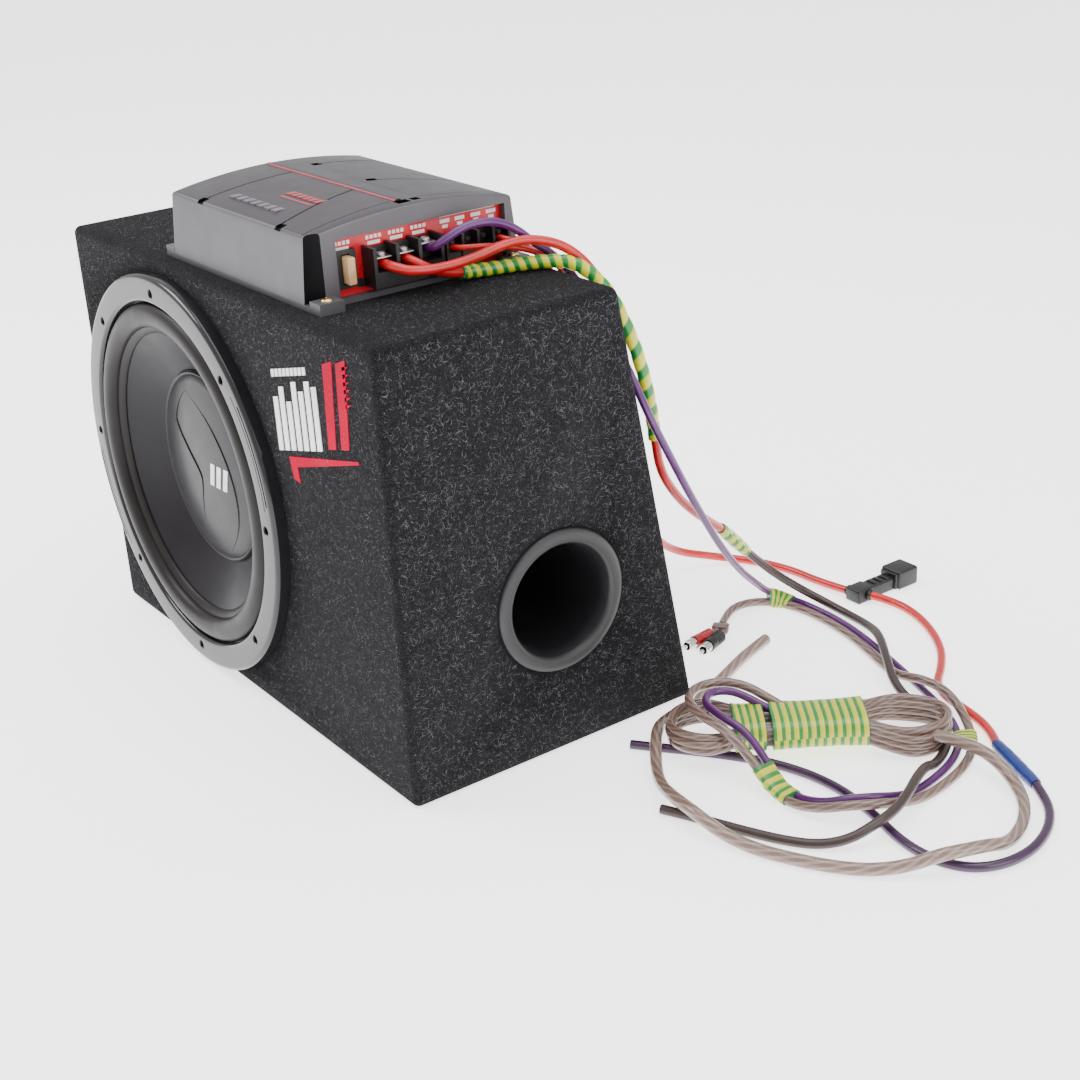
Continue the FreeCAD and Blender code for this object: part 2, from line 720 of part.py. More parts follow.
REMOTE_LEAD = [
    (138, -19, 363), (147, -18.5, 363.6), (152.5, -12, 369.5), (155, 0, 375.5), (157, 12, 377.5), (158.5, 27, 376),
    (158.5, 43, 368), (157, 58, 355), (161, 73, 343.5), (174, 84, 324), (192, 91, 294),
    (210, 98, 263), (221, 106, 229), (223, 122, 195), (219, 143, 158), (212, 165, 125),
    (201, 190, 92), (187, 221, 58), (172, 251, 32), (162, 275, 12), (172, 291, 4.4),
    (198, 294, 3.4), (230, 292.5, 3.4), (262, 286, 3.4), (294, 276.5, 3.4), (326, 266, 3.4),
    (358, 255, 3.4), (388, 243.5, 3.4), (411, 230.5, 3.4), (429, 213, 3.4), (441, 191, 3.4),
    (447.5, 167, 3.4), (450.5, 143, 3.4), (451, 125, 8.5), (448.5, 109, 13.6), (439, 94.5, 13.6),
    (425, 84, 8), (405, 79.5, 3.6), (385, 80, 6), (365, 82.5, 20), (346, 81.5, 33), (325, 77, 36.5),
    (306, 80, 37.5), (296, 94, 37.5), (303, 109, 36), (318, 117, 31), (334, 124.5, 24)]
SIGNAL_LEAD = [
    (338, 134, 24), (321, 127.5, 31), (303, 121, 36.5), (288.5, 110, 37.5), (283.5, 92, 37.5),
    (293, 74.5, 37.5), (315, 67, 36.5), (340, 70.5, 34), (363, 72.5, 21), (386, 70.5, 7),
    (407, 70.5, 4), (428, 75, 8.5), (446, 87.5, 14.2), (457.5, 104.5, 14.2), (460.5, 123, 9),
    (460, 143, 3.8), (457.5, 168, 3.8), (451, 193.5, 3.8), (438.5, 217, 3.8), (419, 236, 3.8),
    (398, 248.5, 8.5), (378, 254.5, 13.6), (354, 254.5, 13.6), (334, 254, 8), (312, 260.5, 3.8),
    (284, 270.5, 3.8), (254, 279.5, 3.8), (222, 284.5, 3.8), (193, 285, 3.8), (171, 279.5, 4),
    (157, 265, 5), (154, 245, 6), (162, 227, 6), (173, 213, 6)]
CLEAR_CABLE = [
    (419, 196, 16), (437, 201, 16.5), (459, 205, 16.5), (480, 204, 10), (499, 196, 5),
    (515, 182, 4.8), (528, 163, 4.8), (535.5, 141, 6), (537, 121, 14), (532, 104, 15.2),
    (525, 89, 14.6), (514, 72, 8), (499, 54, 4.8), (480, 38, 4.8), (457, 25, 4.8), (432, 14, 4.8),
    (408, 6.5, 8.5), (385, 3.5, 14.6), (360, 5.5, 14.6), (337, 14, 9), (315, 27, 6.5),
    (297, 41, 13.6), (280, 57, 14.6), (267, 77, 9), (258, 100, 4.8), (252.5, 123, 4.8),
    (244, 146, 4.8), (233, 171, 4.8), (222, 197, 4.8), (214, 224, 4.8)]
SPEAKER_WIRE_A = [
    (137, 2.5, 358.6), (145.5, 4, 359), (151.5, 20, 358.5), (153, 38, 355), (153, 54, 350),
    (154, 68, 343.5), (158, 80, 334), (155, 90, 311), (145, 96, 281), (132, 101, 250),
    (120, 104.5, 219), (111, 104, 195), (109, 103.2, 176)]
SPEAKER_WIRE_B = [
    (137, 41.5, 358.6), (144.5, 42.5, 358.2), (148, 50.5, 355), (147.5, 59, 349.5), (146.5, 69, 343.5),
    (146, 78, 336.5),
    (141, 86, 314), (129, 92, 284), (115, 98, 253), (102, 102.5, 222), (93, 103.5, 196),
    (91, 103.2, 176)]
INNER_WIRE_A = [(109, 72, 170), (104, 60, 168), (88, 40, 166), (60, 12, 170), (26, -36, 173.5),
                (11, -54.5, 173.5)]
INNER_WIRE_B = [(91, 72, 170), (85, 58, 164), (68, 36, 158), (44, 8, 155), (25, -36, 157.5),
                (11, -54.5, 157.5)]


def cord_path(points):
    """Straight runs joined by tangent arcs, each as large as its two runs allow."""
    corners = [FreeCAD.Vector(*point) for point in points]
    edges = []
    radii = []
    here = corners[0]
    for before, corner, after in zip(corners, corners[1:], corners[2:]):
        back = before - corner
        ahead = after - corner
        reach = ARC_SHARE * min(back.Length, ahead.Length)
        back.normalize()
        ahead.normalize()
        half_turn = (math.pi - back.getAngle(ahead)) / 2
        radius = reach / math.tan(half_turn)
        towards_centre = (back + ahead).normalize()
        start = corner + back * reach
        middle = corner + towards_centre * (radius / math.cos(half_turn) - radius)
        end = corner + ahead * reach
        edges.append(Part.LineSegment(here, start).toShape())
        edges.append(Part.Arc(start, middle, end).toShape())
        radii.append(radius)
        here = end
    edges.append(Part.LineSegment(here, corners[-1]).toShape())
    return Part.Wire(edges), min(radii)


def tube(points, diameter):
    path, tightest = cord_path(points)
    start = FreeCAD.Vector(*points[0])
    direction = FreeCAD.Vector(*points[1]) - start
    ring = Part.Wire([Part.Circle(start, direction, diameter / 2).toShape()])
    solid = path.makePipeShell([ring], True, True)
    expected = math.pi * diameter ** 2 / 4 * path.Length
    return solid, path.Length, tightest, solid.Volume / expected


def cord(label, points, alias):
    diameter = S(alias).value
    solid, length, tightest, ratio = tube(points, diameter)
    print(f"{label}: length {length:.0f}, tightest arc {tightest:.1f} "
          f"({tightest / diameter:.1f} diameters), volume ratio {ratio:.3f}")
    return group(label, [solid])


def make_cords():
    cord("power_lead", POWER_LEAD, "power_cable")
    cord("power_tail", POWER_TAIL, "power_cable")
    cord("purple_tail", PURPLE_TAIL, "power_cable")
    cord("ground_lead", GROUND_LEAD, "power_cable")
    cord("tape_wrap", TAPE_WRAP, "wrap_across")
    cord("ground_tail", GROUND_TAIL, "power_cable")
    cord("brown_lead", BROWN_LEAD, "power_cable")
    cord("remote_lead", REMOTE_LEAD, "remote_cable")
    cord("signal_lead", SIGNAL_LEAD, "signal_cable")
    cord("clear_cable", CLEAR_CABLE, "speaker_cable")
    cord("speaker_wire_a", SPEAKER_WIRE_A, "speaker_wire")
    cord("speaker_wire_b", SPEAKER_WIRE_B, "speaker_wire")
    wires = [tube(points, 3)[0] for points in (INNER_WIRE_A, INNER_WIRE_B)]
    group("inner_wires", wires)


HANK = Place(352, 138, 0, axis=(0, 0, 1), turn=54.5)


def make_hank():
    """The wound length of the signal lead: a taped waist between two fanned ends."""
    waist = cuboid((-72, -19, 9.8), (70, 19, 26))
    left = rod(31, 19.5, (-69, 0, 8.5))
    right = rod(29, 23.7, (66, 0, 0.3))
    hank = group("hank", [waist.fuse([left, right]).removeSplitter()])
    HANK.put(hank)


def sleeve(start, end, diameter):
    """A taped joint: a straight sleeve with softened ends."""
    start = FreeCAD.Vector(*start)
    direction = FreeCAD.Vector(*end) - start
    body = Part.makeCylinder(diameter / 2, direction.Length, start, direction)
    return body.makeFillet(1.5, [body.Edges[0], body.Edges[2]])


def make_tapes():
    """Sleeves over two joints, three flat bands round side-by-side leads, and the hank's."""
    across = S("splice_across").value
    group("splices", [sleeve(GROUND_TAIL[-1], BROWN_LEAD[0], across),
                      sleeve(POWER_TAIL[-1], PURPLE_TAIL[0], 10)])
    bands = []
    for middle, along, turn, wide, thick in (
            ((165, 281.5, 5.6), 24, 52, 20, 9.5),
            ((428.5, 226, 4.8), 12, -47, 20, 9),
            ((386, 75.2, 8.5), 30, -2, 19, 10)):
        low = (-along / 2, -wide / 2, -min(thick / 2, middle[2]) + 0.2)
        band = cuboid(low, (along / 2, wide / 2, thick / 2))
        band.rotate(FreeCAD.Vector(), FreeCAD.Vector(0, 0, 1), turn)
        band.translate(FreeCAD.Vector(*middle))
        bands.append(band)
    waist = cuboid((-56, -21, 7.8), (42, 21, 28))
    waist = waist.cut(cuboid((-80, -19, 9.8), (80, 19, 26)))
    waist.Placement = HANK.fixed()
    group("tape_bands", bands + [waist])


def make_fuse_holder():
    """The in-line holder: leads pass across one end, and a cap closes the other."""
    half = S("holder_width").value / 2
    start = 329.0
    end = start + S("holder_length").value
    middle = 206.0
    body = cuboid((middle - half, start, 0.3), (middle + half, end, S("holder_height").value))
    cap = cuboid((middle - half - 2.5, end - 1, 0.3), (middle + half + 2.5, end + 22, 17))
    body = body.makeFillet(2, body.Edges)
    cap = cap.makeFillet(2, cap.Edges)
    group("fuse_holder", [body.fuse(cap)])


def make_plugs():
    """Two phono plugs on short tails from a moulded yoke."""
    yoke = cuboid((-7.5, -5, -3.5), (7.5, 5, 3.5))
    yoke.rotate(FreeCAD.Vector(), FreeCAD.Vector(0, 0, 1), 38)
    yoke.translate(FreeCAD.Vector(176, 209, 6))
    whole = yoke
    for start, end in (((178, 204, 6.2), (183.5, 161, 6.2)), ((184, 207, 6.2), (200, 164, 6.2))):
        start = FreeCAD.Vector(*start)
        way = FreeCAD.Vector(*end) - start
        way.normalize()
        whole = whole.fuse(Part.makeCylinder(2.5, 9, start, way))
        whole = whole.fuse(Part.makeCylinder(5.4, 22, start + way * 7, way))
        whole = whole.fuse(Part.makeCylinder(4.4, 9, start + way * 28, way))
        whole = whole.fuse(Part.makeCylinder(1.6, 7, start + way * 36, way))
    group("signal_plugs", [whole.removeSplitter()])


# ---------------------------------------------------------------- build and write

def make_all():
    make_boards()
    make_carpet()
    make_frame()
    make_trim_ring()
    make_woofer_screws()
    make_moving_parts()
    make_spider()
    make_motor()
    make_woofer_terminals()
    make_port()
    make_terminal_cup()
    make_amp_shell()
    make_amp_base()
    make_amp_screws()
    make_end_panels()
    make_power_terminals()
    make_speaker_terminals()
    make_fuse()
    make_controls()
    make_electronics()
    make_cords()
    make_hank()
    make_tapes()
    make_fuse_holder()
    make_plugs()


def check_all():
    for thing in doc.Objects:
        if "Invalid" in thing.State or "Error" in thing.State:
            raise ValueError(f"{thing.Name} failed: {thing.State}")
    for thing in NODES:
        if thing.Shape.isNull() or not thing.Shape.isValid():
            raise ValueError(f"{thing.Label} has no valid shape")
        if len(thing.Label) >= STEP_NAME_LIMIT:
            raise ValueError(f"{thing.Label} is too long a name")


def write_all():
    os.makedirs("parts", exist_ok=True)
    for thing in NODES:
        thing.Shape.exportStep(f"parts/{thing.Label}.step")
    print(f"{len(NODES)} nodes written")


make_all()
doc.recompute()
check_all()
write_all()
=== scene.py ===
import math
import random

import bmesh
import bpy
from mathutils import Matrix, Vector, noise
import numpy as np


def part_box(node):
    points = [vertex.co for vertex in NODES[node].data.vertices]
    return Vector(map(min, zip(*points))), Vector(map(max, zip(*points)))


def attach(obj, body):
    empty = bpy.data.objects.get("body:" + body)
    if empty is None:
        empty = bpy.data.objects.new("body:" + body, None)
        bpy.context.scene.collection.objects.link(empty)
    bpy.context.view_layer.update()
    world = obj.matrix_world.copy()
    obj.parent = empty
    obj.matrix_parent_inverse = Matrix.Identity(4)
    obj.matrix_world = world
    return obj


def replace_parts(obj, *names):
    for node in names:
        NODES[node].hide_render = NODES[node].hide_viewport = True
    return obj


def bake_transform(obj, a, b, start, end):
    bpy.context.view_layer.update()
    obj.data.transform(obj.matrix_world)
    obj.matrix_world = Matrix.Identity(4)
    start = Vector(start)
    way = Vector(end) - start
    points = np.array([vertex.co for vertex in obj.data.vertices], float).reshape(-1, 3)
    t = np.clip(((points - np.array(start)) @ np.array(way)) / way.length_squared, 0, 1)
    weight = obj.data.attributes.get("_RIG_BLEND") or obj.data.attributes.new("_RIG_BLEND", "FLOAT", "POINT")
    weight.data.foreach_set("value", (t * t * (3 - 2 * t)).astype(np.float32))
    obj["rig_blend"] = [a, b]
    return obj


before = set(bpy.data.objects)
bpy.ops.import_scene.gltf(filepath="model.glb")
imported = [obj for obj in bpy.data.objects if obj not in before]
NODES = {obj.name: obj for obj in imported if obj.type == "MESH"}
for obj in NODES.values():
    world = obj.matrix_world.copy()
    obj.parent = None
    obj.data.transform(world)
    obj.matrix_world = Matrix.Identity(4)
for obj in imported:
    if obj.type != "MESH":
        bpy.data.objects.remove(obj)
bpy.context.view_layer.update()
random.seed(7)

# Metres, in the CAD model's frame: origin at the centre of the base, on the floor.
SKIN_LOW, SKIN_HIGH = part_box("carpet_skin")
HALF_WIDTH = SKIN_HIGH.x
BOX_TOP = SKIN_HIGH.z
FRONT = SKIN_LOW.y
TOP_BACK = 0.07
BACK_SLANT = (SKIN_HIGH.y - TOP_BACK) / BOX_TOP
CARPET = 0.003
RING_LOW, RING_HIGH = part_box("trim_ring")
WOOFER = Vector(((RING_LOW.x + RING_HIGH.x) / 2, FRONT, (RING_LOW.z + RING_HIGH.z) / 2))
PORT_LOW, PORT_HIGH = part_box("port_tube")
PORT = Vector((HALF_WIDTH, (PORT_LOW.y + PORT_HIGH.y) / 2, (PORT_LOW.z + PORT_HIGH.z) / 2))
CUP_ACROSS, CUP_UP = 0.1, 0.17
CUP = Vector((CUP_ACROSS, SKIN_HIGH.y - BACK_SLANT * CUP_UP, CUP_UP))
CUP_TURN = math.atan(BACK_SLANT) - math.pi / 2
SHELL_LOW, SHELL_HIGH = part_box("amp_shell")
BODY = "cabinet"
CONE = "cone_assembly"

WOOFER_FRAME = Matrix.Translation(WOOFER) @ Matrix.Rotation(math.pi / 2, 4, "X")
PORT_FRAME = Matrix.Translation(PORT) @ Matrix.Rotation(math.pi / 2, 4, "Y")
CUP_FRAME = Matrix.Translation(CUP) @ Matrix.Rotation(CUP_TURN, 4, "X")
HANK_TURN = math.radians(54.5)
HANK_FRAME = Matrix.Translation((0.352, 0.138, 0)) @ Matrix.Rotation(HANK_TURN, 4, "Z")


def mm(points):
    """Points or a profile written in millimetres, in metres."""
    return [tuple(value / 1000 for value in point) for point in points]


# ---------------------------------------------------------------- materials

class Shader:
    """A node material: a Principled shader, with named helpers for its textures."""

    def __init__(self, name, color, rough=0.5, metal=0.0, **sockets):
        self.material = bpy.data.materials.new(name)
        self.material.use_nodes = True
        self.tree = self.material.node_tree
        self.shader = self.tree.nodes["Principled BSDF"]
        self.set("Base Color", (*color, 1))
        self.set("Roughness", rough)
        self.set("Metallic", metal)
        for key, value in sockets.items():
            self.set(key.replace("_", " "), value)

    def set(self, name, value):
        self.shader.inputs[name].default_value = value

    def add(self, kind, **settings):
        item = self.tree.nodes.new(kind)
        for key, value in settings.items():
            setattr(item, key, value)
        return item

    def link(self, output, target):
        self.tree.links.new(output, target)

    def coordinates(self, kind="Object", scale=(1, 1, 1)):
        source = self.add("ShaderNodeTexCoord")
        mapping = self.add("ShaderNodeMapping")
        mapping.inputs["Scale"].default_value = scale
        self.link(source.outputs[kind], mapping.inputs["Vector"])
        return mapping.outputs["Vector"]

    def noise(self, scale, detail=4.0, distortion=0.0, vector=None):
        item = self.add("ShaderNodeTexNoise")
        item.inputs["Scale"].default_value = scale
        item.inputs["Detail"].default_value = detail
        item.inputs["Distortion"].default_value = distortion
        self.link(vector or self.coordinates(), item.inputs["Vector"])
        return item.outputs["Fac"]

    def ramp(self, factor, stops):
        item = self.add("ShaderNodeValToRGB")
        ramp = item.color_ramp
        while len(ramp.elements) < len(stops):
            ramp.elements.new(0.5)
        for element, (place, color) in zip(ramp.elements, stops):
            element.position = place
            element.color = (*color, 1) if len(color) == 3 else color
        self.link(factor, item.inputs["Fac"])
        return item.outputs["Color"]

    def math(self, operation, first, second):
        item = self.add("ShaderNodeMath", operation=operation)
        for socket, value in zip(item.inputs, (first, second)):
            if isinstance(value, (int, float)):
                socket.default_value = value
            else:
                self.link(value, socket)
        return item.outputs[0]

    def spread(self, factor, low, high):
        """The factor, mapped from 0..1 to low..high."""
        item = self.add("ShaderNodeMapRange")
        item.inputs["To Min"].default_value = low
        item.inputs["To Max"].default_value = high
        self.link(factor, item.inputs["Value"])
        return item.outputs["Result"]

    def mix(self, kind, share, first, second):
        item = self.add("ShaderNodeMixRGB", blend_type=kind)
        item.inputs["Fac"].default_value = share
        self.link(first, item.inputs["Color1"])
        self.link(second, item.inputs["Color2"])
        return item.outputs["Color"]

    def wound(self, along, around):
        """A value that grows with u times along and v times around."""
        source = self.add("ShaderNodeTexCoord")
        parts = self.add("ShaderNodeSeparateXYZ")
        self.link(source.outputs["UV"], parts.inputs["Vector"])
        lengthwise = self.math("MULTIPLY", parts.outputs["X"], along)
        return self.math("ADD", lengthwise, self.math("MULTIPLY", parts.outputs["Y"], around))

    def color_from(self, output):
        self.link(output, self.shader.inputs["Base Color"])

    def rough_from(self, factor, low, high):
        self.link(self.spread(factor, low, high), self.shader.inputs["Roughness"])

    def bump(self, height, strength, distance):
        item = self.add("ShaderNodeBump")
        item.inputs["Strength"].default_value = strength
        item.inputs["Distance"].default_value = distance
        self.link(height, item.inputs["Height"])
        self.link(item.outputs["Normal"], self.shader.inputs["Normal"])


def grainy(name, color, rough, metal=0.0, grain=900, strength=0.15, vary=0.15, **sockets):
    """A moulded or painted surface: a fine grain, and slow changes of tone and gloss."""
    made = Shader(name, color, rough, metal, **sockets)
    slow = made.noise(28, 3)
    light = tuple(min(1, c * (1 + vary)) for c in color)
    dark = tuple(c * (1 - vary) for c in color)
    made.color_from(made.ramp(slow, ((0.3, dark), (0.7, light))))
    made.rough_from(made.noise(60, 5), max(0.02, rough - 0.07), min(1, rough + 0.09))
    made.bump(made.noise(grain, 3), strength, 0.0002)
    return made.material


def carpet_material():
    """Needle-felt carpet: matted dark fibres with paler ones lying across them."""
    made = Shader("carpet_felt", (0.008, 0.008, 0.009), 0.96, Sheen_Weight=0.04,
                  Sheen_Roughness=0.6, Specular_IOR_Level=0.08)
    base = made.noise(520, 6, 1.4)
    patches = made.noise(46, 4, 0.6)
    body = made.ramp(base, ((0.32, (0.001, 0.001, 0.0015)), (0.5, (0.006, 0.0055, 0.007)),
                            (0.64, (0.016, 0.015, 0.018)), (0.78, (0.05, 0.048, 0.054))))
    strands = made.noise(300, 8, 5.5)
    pale = made.ramp(strands, ((0.56, (0, 0, 0)), (0.63, (0.035, 0.035, 0.04)),
                               (0.71, (0.26, 0.245, 0.27))))
    lift = made.mix("ADD", 0.55, body, pale)
    shade = made.ramp(patches, ((0.35, (0.62, 0.62, 0.64)), (0.65, (1.15, 1.13, 1.16))))
    made.color_from(made.mix("MULTIPLY", 0.7, lift, shade))
    made.bump(made.math("ADD", base, strands), 1.0, 0.0016)
    return made.material


def strand_material(name, dark, light, turns):
    """A cable whose twisted strands show through a clear jacket."""
    made = Shader(name, light, 0.22, Coat_Weight=0.6, Coat_Roughness=0.08)
    strands_around = 6.0
    full_turn = 6.2832
    wave = made.math("SINE", made.math("MULTIPLY", made.wound(turns, strands_around), full_turn), 0)
    stripe = made.spread(wave, 0.5, 1.0)
    mottled = made.math("MULTIPLY", stripe, made.spread(made.noise(420, 3), 0.75, 1.25))
    made.color_from(made.ramp(mottled, ((0.3, dark), (0.85, light))))
    made.bump(stripe, 0.35, 0.0004)
    return made.material


def striped_tape(name, pitch_turns, slant):
    """Green tape with yellow stripes; u runs along it and v around it."""
    made = Shader(name, (0.3, 0.5, 0.1), 0.32, Coat_Weight=0.25, Coat_Roughness=0.2)
    place = made.math("FRACT", made.wound(pitch_turns, slant), 0)
    made.color_from(made.ramp(place, (
        (0.0, (0.01, 0.2, 0.03)), (0.36, (0.015, 0.26, 0.04)), (0.43, (0.56, 0.55, 0.012)),
        (0.92, (0.66, 0.64, 0.02)), (0.99, (0.01, 0.2, 0.03)))))
    made.rough_from(made.noise(300, 4), 0.2, 0.45)
    made.bump(made.noise(260, 4, 0.8), 0.4, 0.0006)
    return made.material


def cable_material(name, color, rough=0.3):
    made = Shader(name, color, rough, Coat_Weight=0.3, Coat_Roughness=0.15)
    slow = made.noise(70, 4)
    made.color_from(made.ramp(slow, ((0.3, tuple(c * 0.82 for c in color)),
                                     (0.7, tuple(min(1, c * 1.15) for c in color)))))
    made.rough_from(made.noise(240, 5), rough - 0.08, rough + 0.14)
    made.bump(made.noise(500, 4), 0.12, 0.0002)
    return made.material


CARPET_FELT = carpet_material()
FIBRE = grainy("loose_fibres", (0.17, 0.16, 0.175), 0.85, strength=0.05)
RING_GLOSS = grainy("ring_gloss", (0.014, 0.014, 0.016), 0.13, grain=700, strength=0.05,
                    Specular_IOR_Level=0.42)
RUBBER = grainy("roll_rubber", (0.017, 0.0145, 0.0145), 0.4, grain=1200, strength=0.12,
                Specular_IOR_Level=0.16)
CONE_SATIN = grainy("cone_satin", (0.0125, 0.0105, 0.0135), 0.34, grain=1500, strength=0.1,
                    Specular_IOR_Level=0.16)
CAP_SATIN = grainy("cap_satin", (0.013, 0.011, 0.014), 0.3, grain=1500, strength=0.08,
                   Specular_IOR_Level=0.2)
DARK_METAL = grainy("black_painted_steel", (0.03, 0.03, 0.032), 0.45, grain=800)
ZINC = grainy("zinc_steel", (0.42, 0.41, 0.4), 0.32, 1.0, grain=1500, strength=0.1)
BLACK_ZINC = grainy("black_screw", (0.02, 0.02, 0.022), 0.35, 0.4, grain=1500, strength=0.1)
FERRITE = grainy("ferrite", (0.06, 0.06, 0.065), 0.7, grain=600, strength=0.4)
COPPER = grainy("enamelled_copper", (0.5, 0.2, 0.08), 0.3, 0.9)
CLOTH = grainy("spider_cloth", (0.55, 0.38, 0.16), 0.85, grain=900, strength=0.5)
BLACK_PLASTIC = grainy("black_plastic", (0.007, 0.007, 0.008), 0.42, grain=1100)
PORT_PLASTIC = grainy("port_plastic", (0.011, 0.011, 0.013), 0.42, grain=1400, strength=0.22)
AMP_PAINT = grainy("amp_paint", (0.088, 0.083, 0.092), 0.42, 0.25, grain=1600, strength=0.14,
                   vary=0.06)
AMP_TOP = grainy("amp_top_paint", (0.044, 0.038, 0.047), 0.38, 0.3, grain=1600, strength=0.12,
                 vary=0.05)
# Near-black painted shade, laid in the cover's grooves and cove and along the cap's crease.
GROOVE_PAINTED_SHADE = grainy("groove_painted_shade", (0.003, 0.003, 0.004), 0.6, Specular_IOR_Level=0.1)
RED_PANEL = grainy("red_panel", (0.6, 0.006, 0.016), 0.28, grain=900, strength=0.05)
RED_LINE = grainy("red_line", (0.36, 0.035, 0.05), 0.35)
WHITE_INK = grainy("white_ink", (0.85, 0.85, 0.86), 0.5, grain=700)
GREY_INK = grainy("grey_ink", (0.13, 0.12, 0.14), 0.45)
RED_INK = grainy("red_ink", (0.42, 0.001, 0.03), 0.7, grain=700, Specular_IOR_Level=0.03)
BRASS = grainy("brass", (0.72, 0.5, 0.2), 0.25, 1.0)
TAN = grainy("tan_plastic", (0.62, 0.37, 0.18), 0.3, Coat_Weight=0.3)
BOARD_GREEN = grainy("board_green", (0.02, 0.14, 0.05), 0.35)
FIBREBOARD = grainy("fibreboard", (0.5, 0.37, 0.24), 0.85, grain=500, strength=0.3)
RED_CABLE = cable_material("red_cable", (0.55, 0.008, 0.008))
PURPLE_CABLE = cable_material("purple_cable", (0.085, 0.008, 0.115))
DARK_PURPLE = cable_material("dark_purple_cable", (0.035, 0.006, 0.045))
BROWN_CABLE = cable_material("brown_cable", (0.032, 0.014, 0.011), 0.42)
STRANDED = strand_material("stranded_clear", (0.085, 0.048, 0.038), (0.25, 0.16, 0.13), 54)
STRANDED_LONG = strand_material("stranded_hank", (0.085, 0.048, 0.038), (0.23, 0.145, 0.115), 235)
STRANDED_THICK = strand_material("stranded_thick", (0.12, 0.072, 0.057), (0.32, 0.22, 0.18), 43)
WRAP_TAPE = striped_tape("spiral_tape", 20.0, 1.0)
HANK_TAPE = striped_tape("hank_tape_stripes", 11.0, 0.25)
TAPE_BAND = striped_tape("band_stripes", 4.0, 0.35)
BLUE_TAPE = cable_material("blue_tape", (0.004, 0.03, 0.22), 0.35)
RED_PLASTIC = cable_material("red_plug", (0.42, 0.004, 0.008), 0.3)
CHROME = grainy("chrome", (0.75, 0.74, 0.72), 0.12, 1.0, strength=0.02)


# ---------------------------------------------------------------- mesh helpers

def link(obj, material, body=BODY):
    bpy.context.scene.collection.objects.link(obj)
    obj.data.materials.append(material)
    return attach(obj, body)


def mesh_from(name, made, smooth=True, sharp=40):
    """Turn a bmesh into a mesh, smooth except at edges sharper than the angle."""
    mesh = bpy.data.meshes.new(name)
    bmesh.ops.recalc_face_normals(made, faces=made.faces)
    made.to_mesh(mesh)
    made.free()
    for face in mesh.polygons:
        face.use_smooth = smooth
    if smooth:
        mesh.set_sharp_from_angle(angle=math.radians(sharp))
    return mesh


def mesh_piece(name, made, material, body=BODY, smooth=True):
    """An object from a bmesh, riding on a body."""
    return link(bpy.data.objects.new(name, mesh_from(name, made, smooth)), material, body)


def loft(made, rings):
    """Close the first and last ring of vertices, and join the rings in their order."""
    made.faces.new(rings[0])
    made.faces.new(rings[-1])
    for first, second in zip(rings, rings[1:]):
        for k in range(len(first)):
            after = (k + 1) % len(first)
            made.faces.new((first[k], first[after], second[after], second[k]))


def lathe(made, profile, matrix, segments=192, closed=True):
    """Turn a profile of (radius, height) about the matrix's own Z axis."""
    rings = []
    for radius, height in profile:
        ring = []
        if radius < 1e-6:
            ring = [made.verts.new(matrix @ Vector((0, 0, height)))] * segments
        else:
            for i in range(segments):
                angle = 2 * math.pi * i / segments
                place = Vector((radius * math.cos(angle), radius * math.sin(angle), height))
                ring.append(made.verts.new(matrix @ place))
        rings.append(ring)
    pairs = list(zip(rings, rings[1:]))
    if closed:
        pairs.append((rings[-1], rings[0]))
    for first, second in pairs:
        for i in range(segments):
            k = (i + 1) % segments
            corners = []
            for vert in (first[i], first[k], second[k], second[i]):
                if vert not in corners:
                    corners.append(vert)
            if len(corners) > 2:
                made.faces.new(corners)
    return made


def rounded(corners, steps=5):
    """A profile whose listed corners are (radius, height, rounding); sharp where it is 0."""
    points = []
    count = len(corners)
    for i, (radius, height, bend) in enumerate(corners):
        here = Vector((radius, height))
        if not bend:
            points.append(tuple(here))
            continue
        before = Vector(corners[i - 1][:2])
        after = Vector(corners[(i + 1) % count][:2])
        start = here + (before - here).normalized() * bend
        end = here + (after - here).normalized() * bend
        for step in range(steps + 1):
            t = step / steps
            point = start * (1 - t) ** 2 + here * 2 * t * (1 - t) + end * t ** 2
            points.append(tuple(point))
    return points


def block(made, low, high, matrix=Matrix.Identity(4), bevel=0.0, segments=2):
    """A box between two corners, its edges softened."""
    low = Vector(low)
    high = Vector(high)
    found = bmesh.ops.create_cube(made, size=1)["verts"]
    scale = Matrix.Diagonal((*(high - low), 1))
    bmesh.ops.transform(made, matrix=matrix @ Matrix.Translation((low + high) / 2) @ scale,
                        verts=found)
    if bevel:
        edges = {edge for vert in found for edge in vert.link_edges}
        bmesh.ops.bevel(made, geom=list(edges), offset=bevel, segments=segments,
                        affect="EDGES", profile=0.5)
    return made


def cylinder(made, radius, start, end, bevel=0.0, segments=32):
    """A round bar between two points, its rims softened."""
    start = Vector(start)
    way = Vector(end) - start
    turn = way.to_track_quat("Z", "Y").to_matrix().to_4x4()
    profile = [(0, 0), (radius - bevel, 0), (radius, bevel), (radius, way.length - bevel),
               (radius - bevel, way.length), (0, way.length)]
    return lathe(made, profile, Matrix.Translation(start) @ turn, segments, closed=False)


def cut(obj, made):
    """Cut the solid in a bmesh out of an object."""
    cutter = bpy.data.objects.new("cutter", mesh_from("cutter", made, smooth=False))
    bpy.context.scene.collection.objects.link(cutter)
    modifier = obj.modifiers.new("cut", "BOOLEAN")
    modifier.operation = "DIFFERENCE"
    modifier.object = cutter
    modifier.solver = "EXACT"
    bpy.context.view_layer.update()
    graph = bpy.context.evaluated_depsgraph_get()
    mesh = bpy.data.meshes.new_from_object(obj.evaluated_get(graph))
    obj.modifiers.clear()
    obj.data = mesh
    bpy.data.objects.remove(cutter)


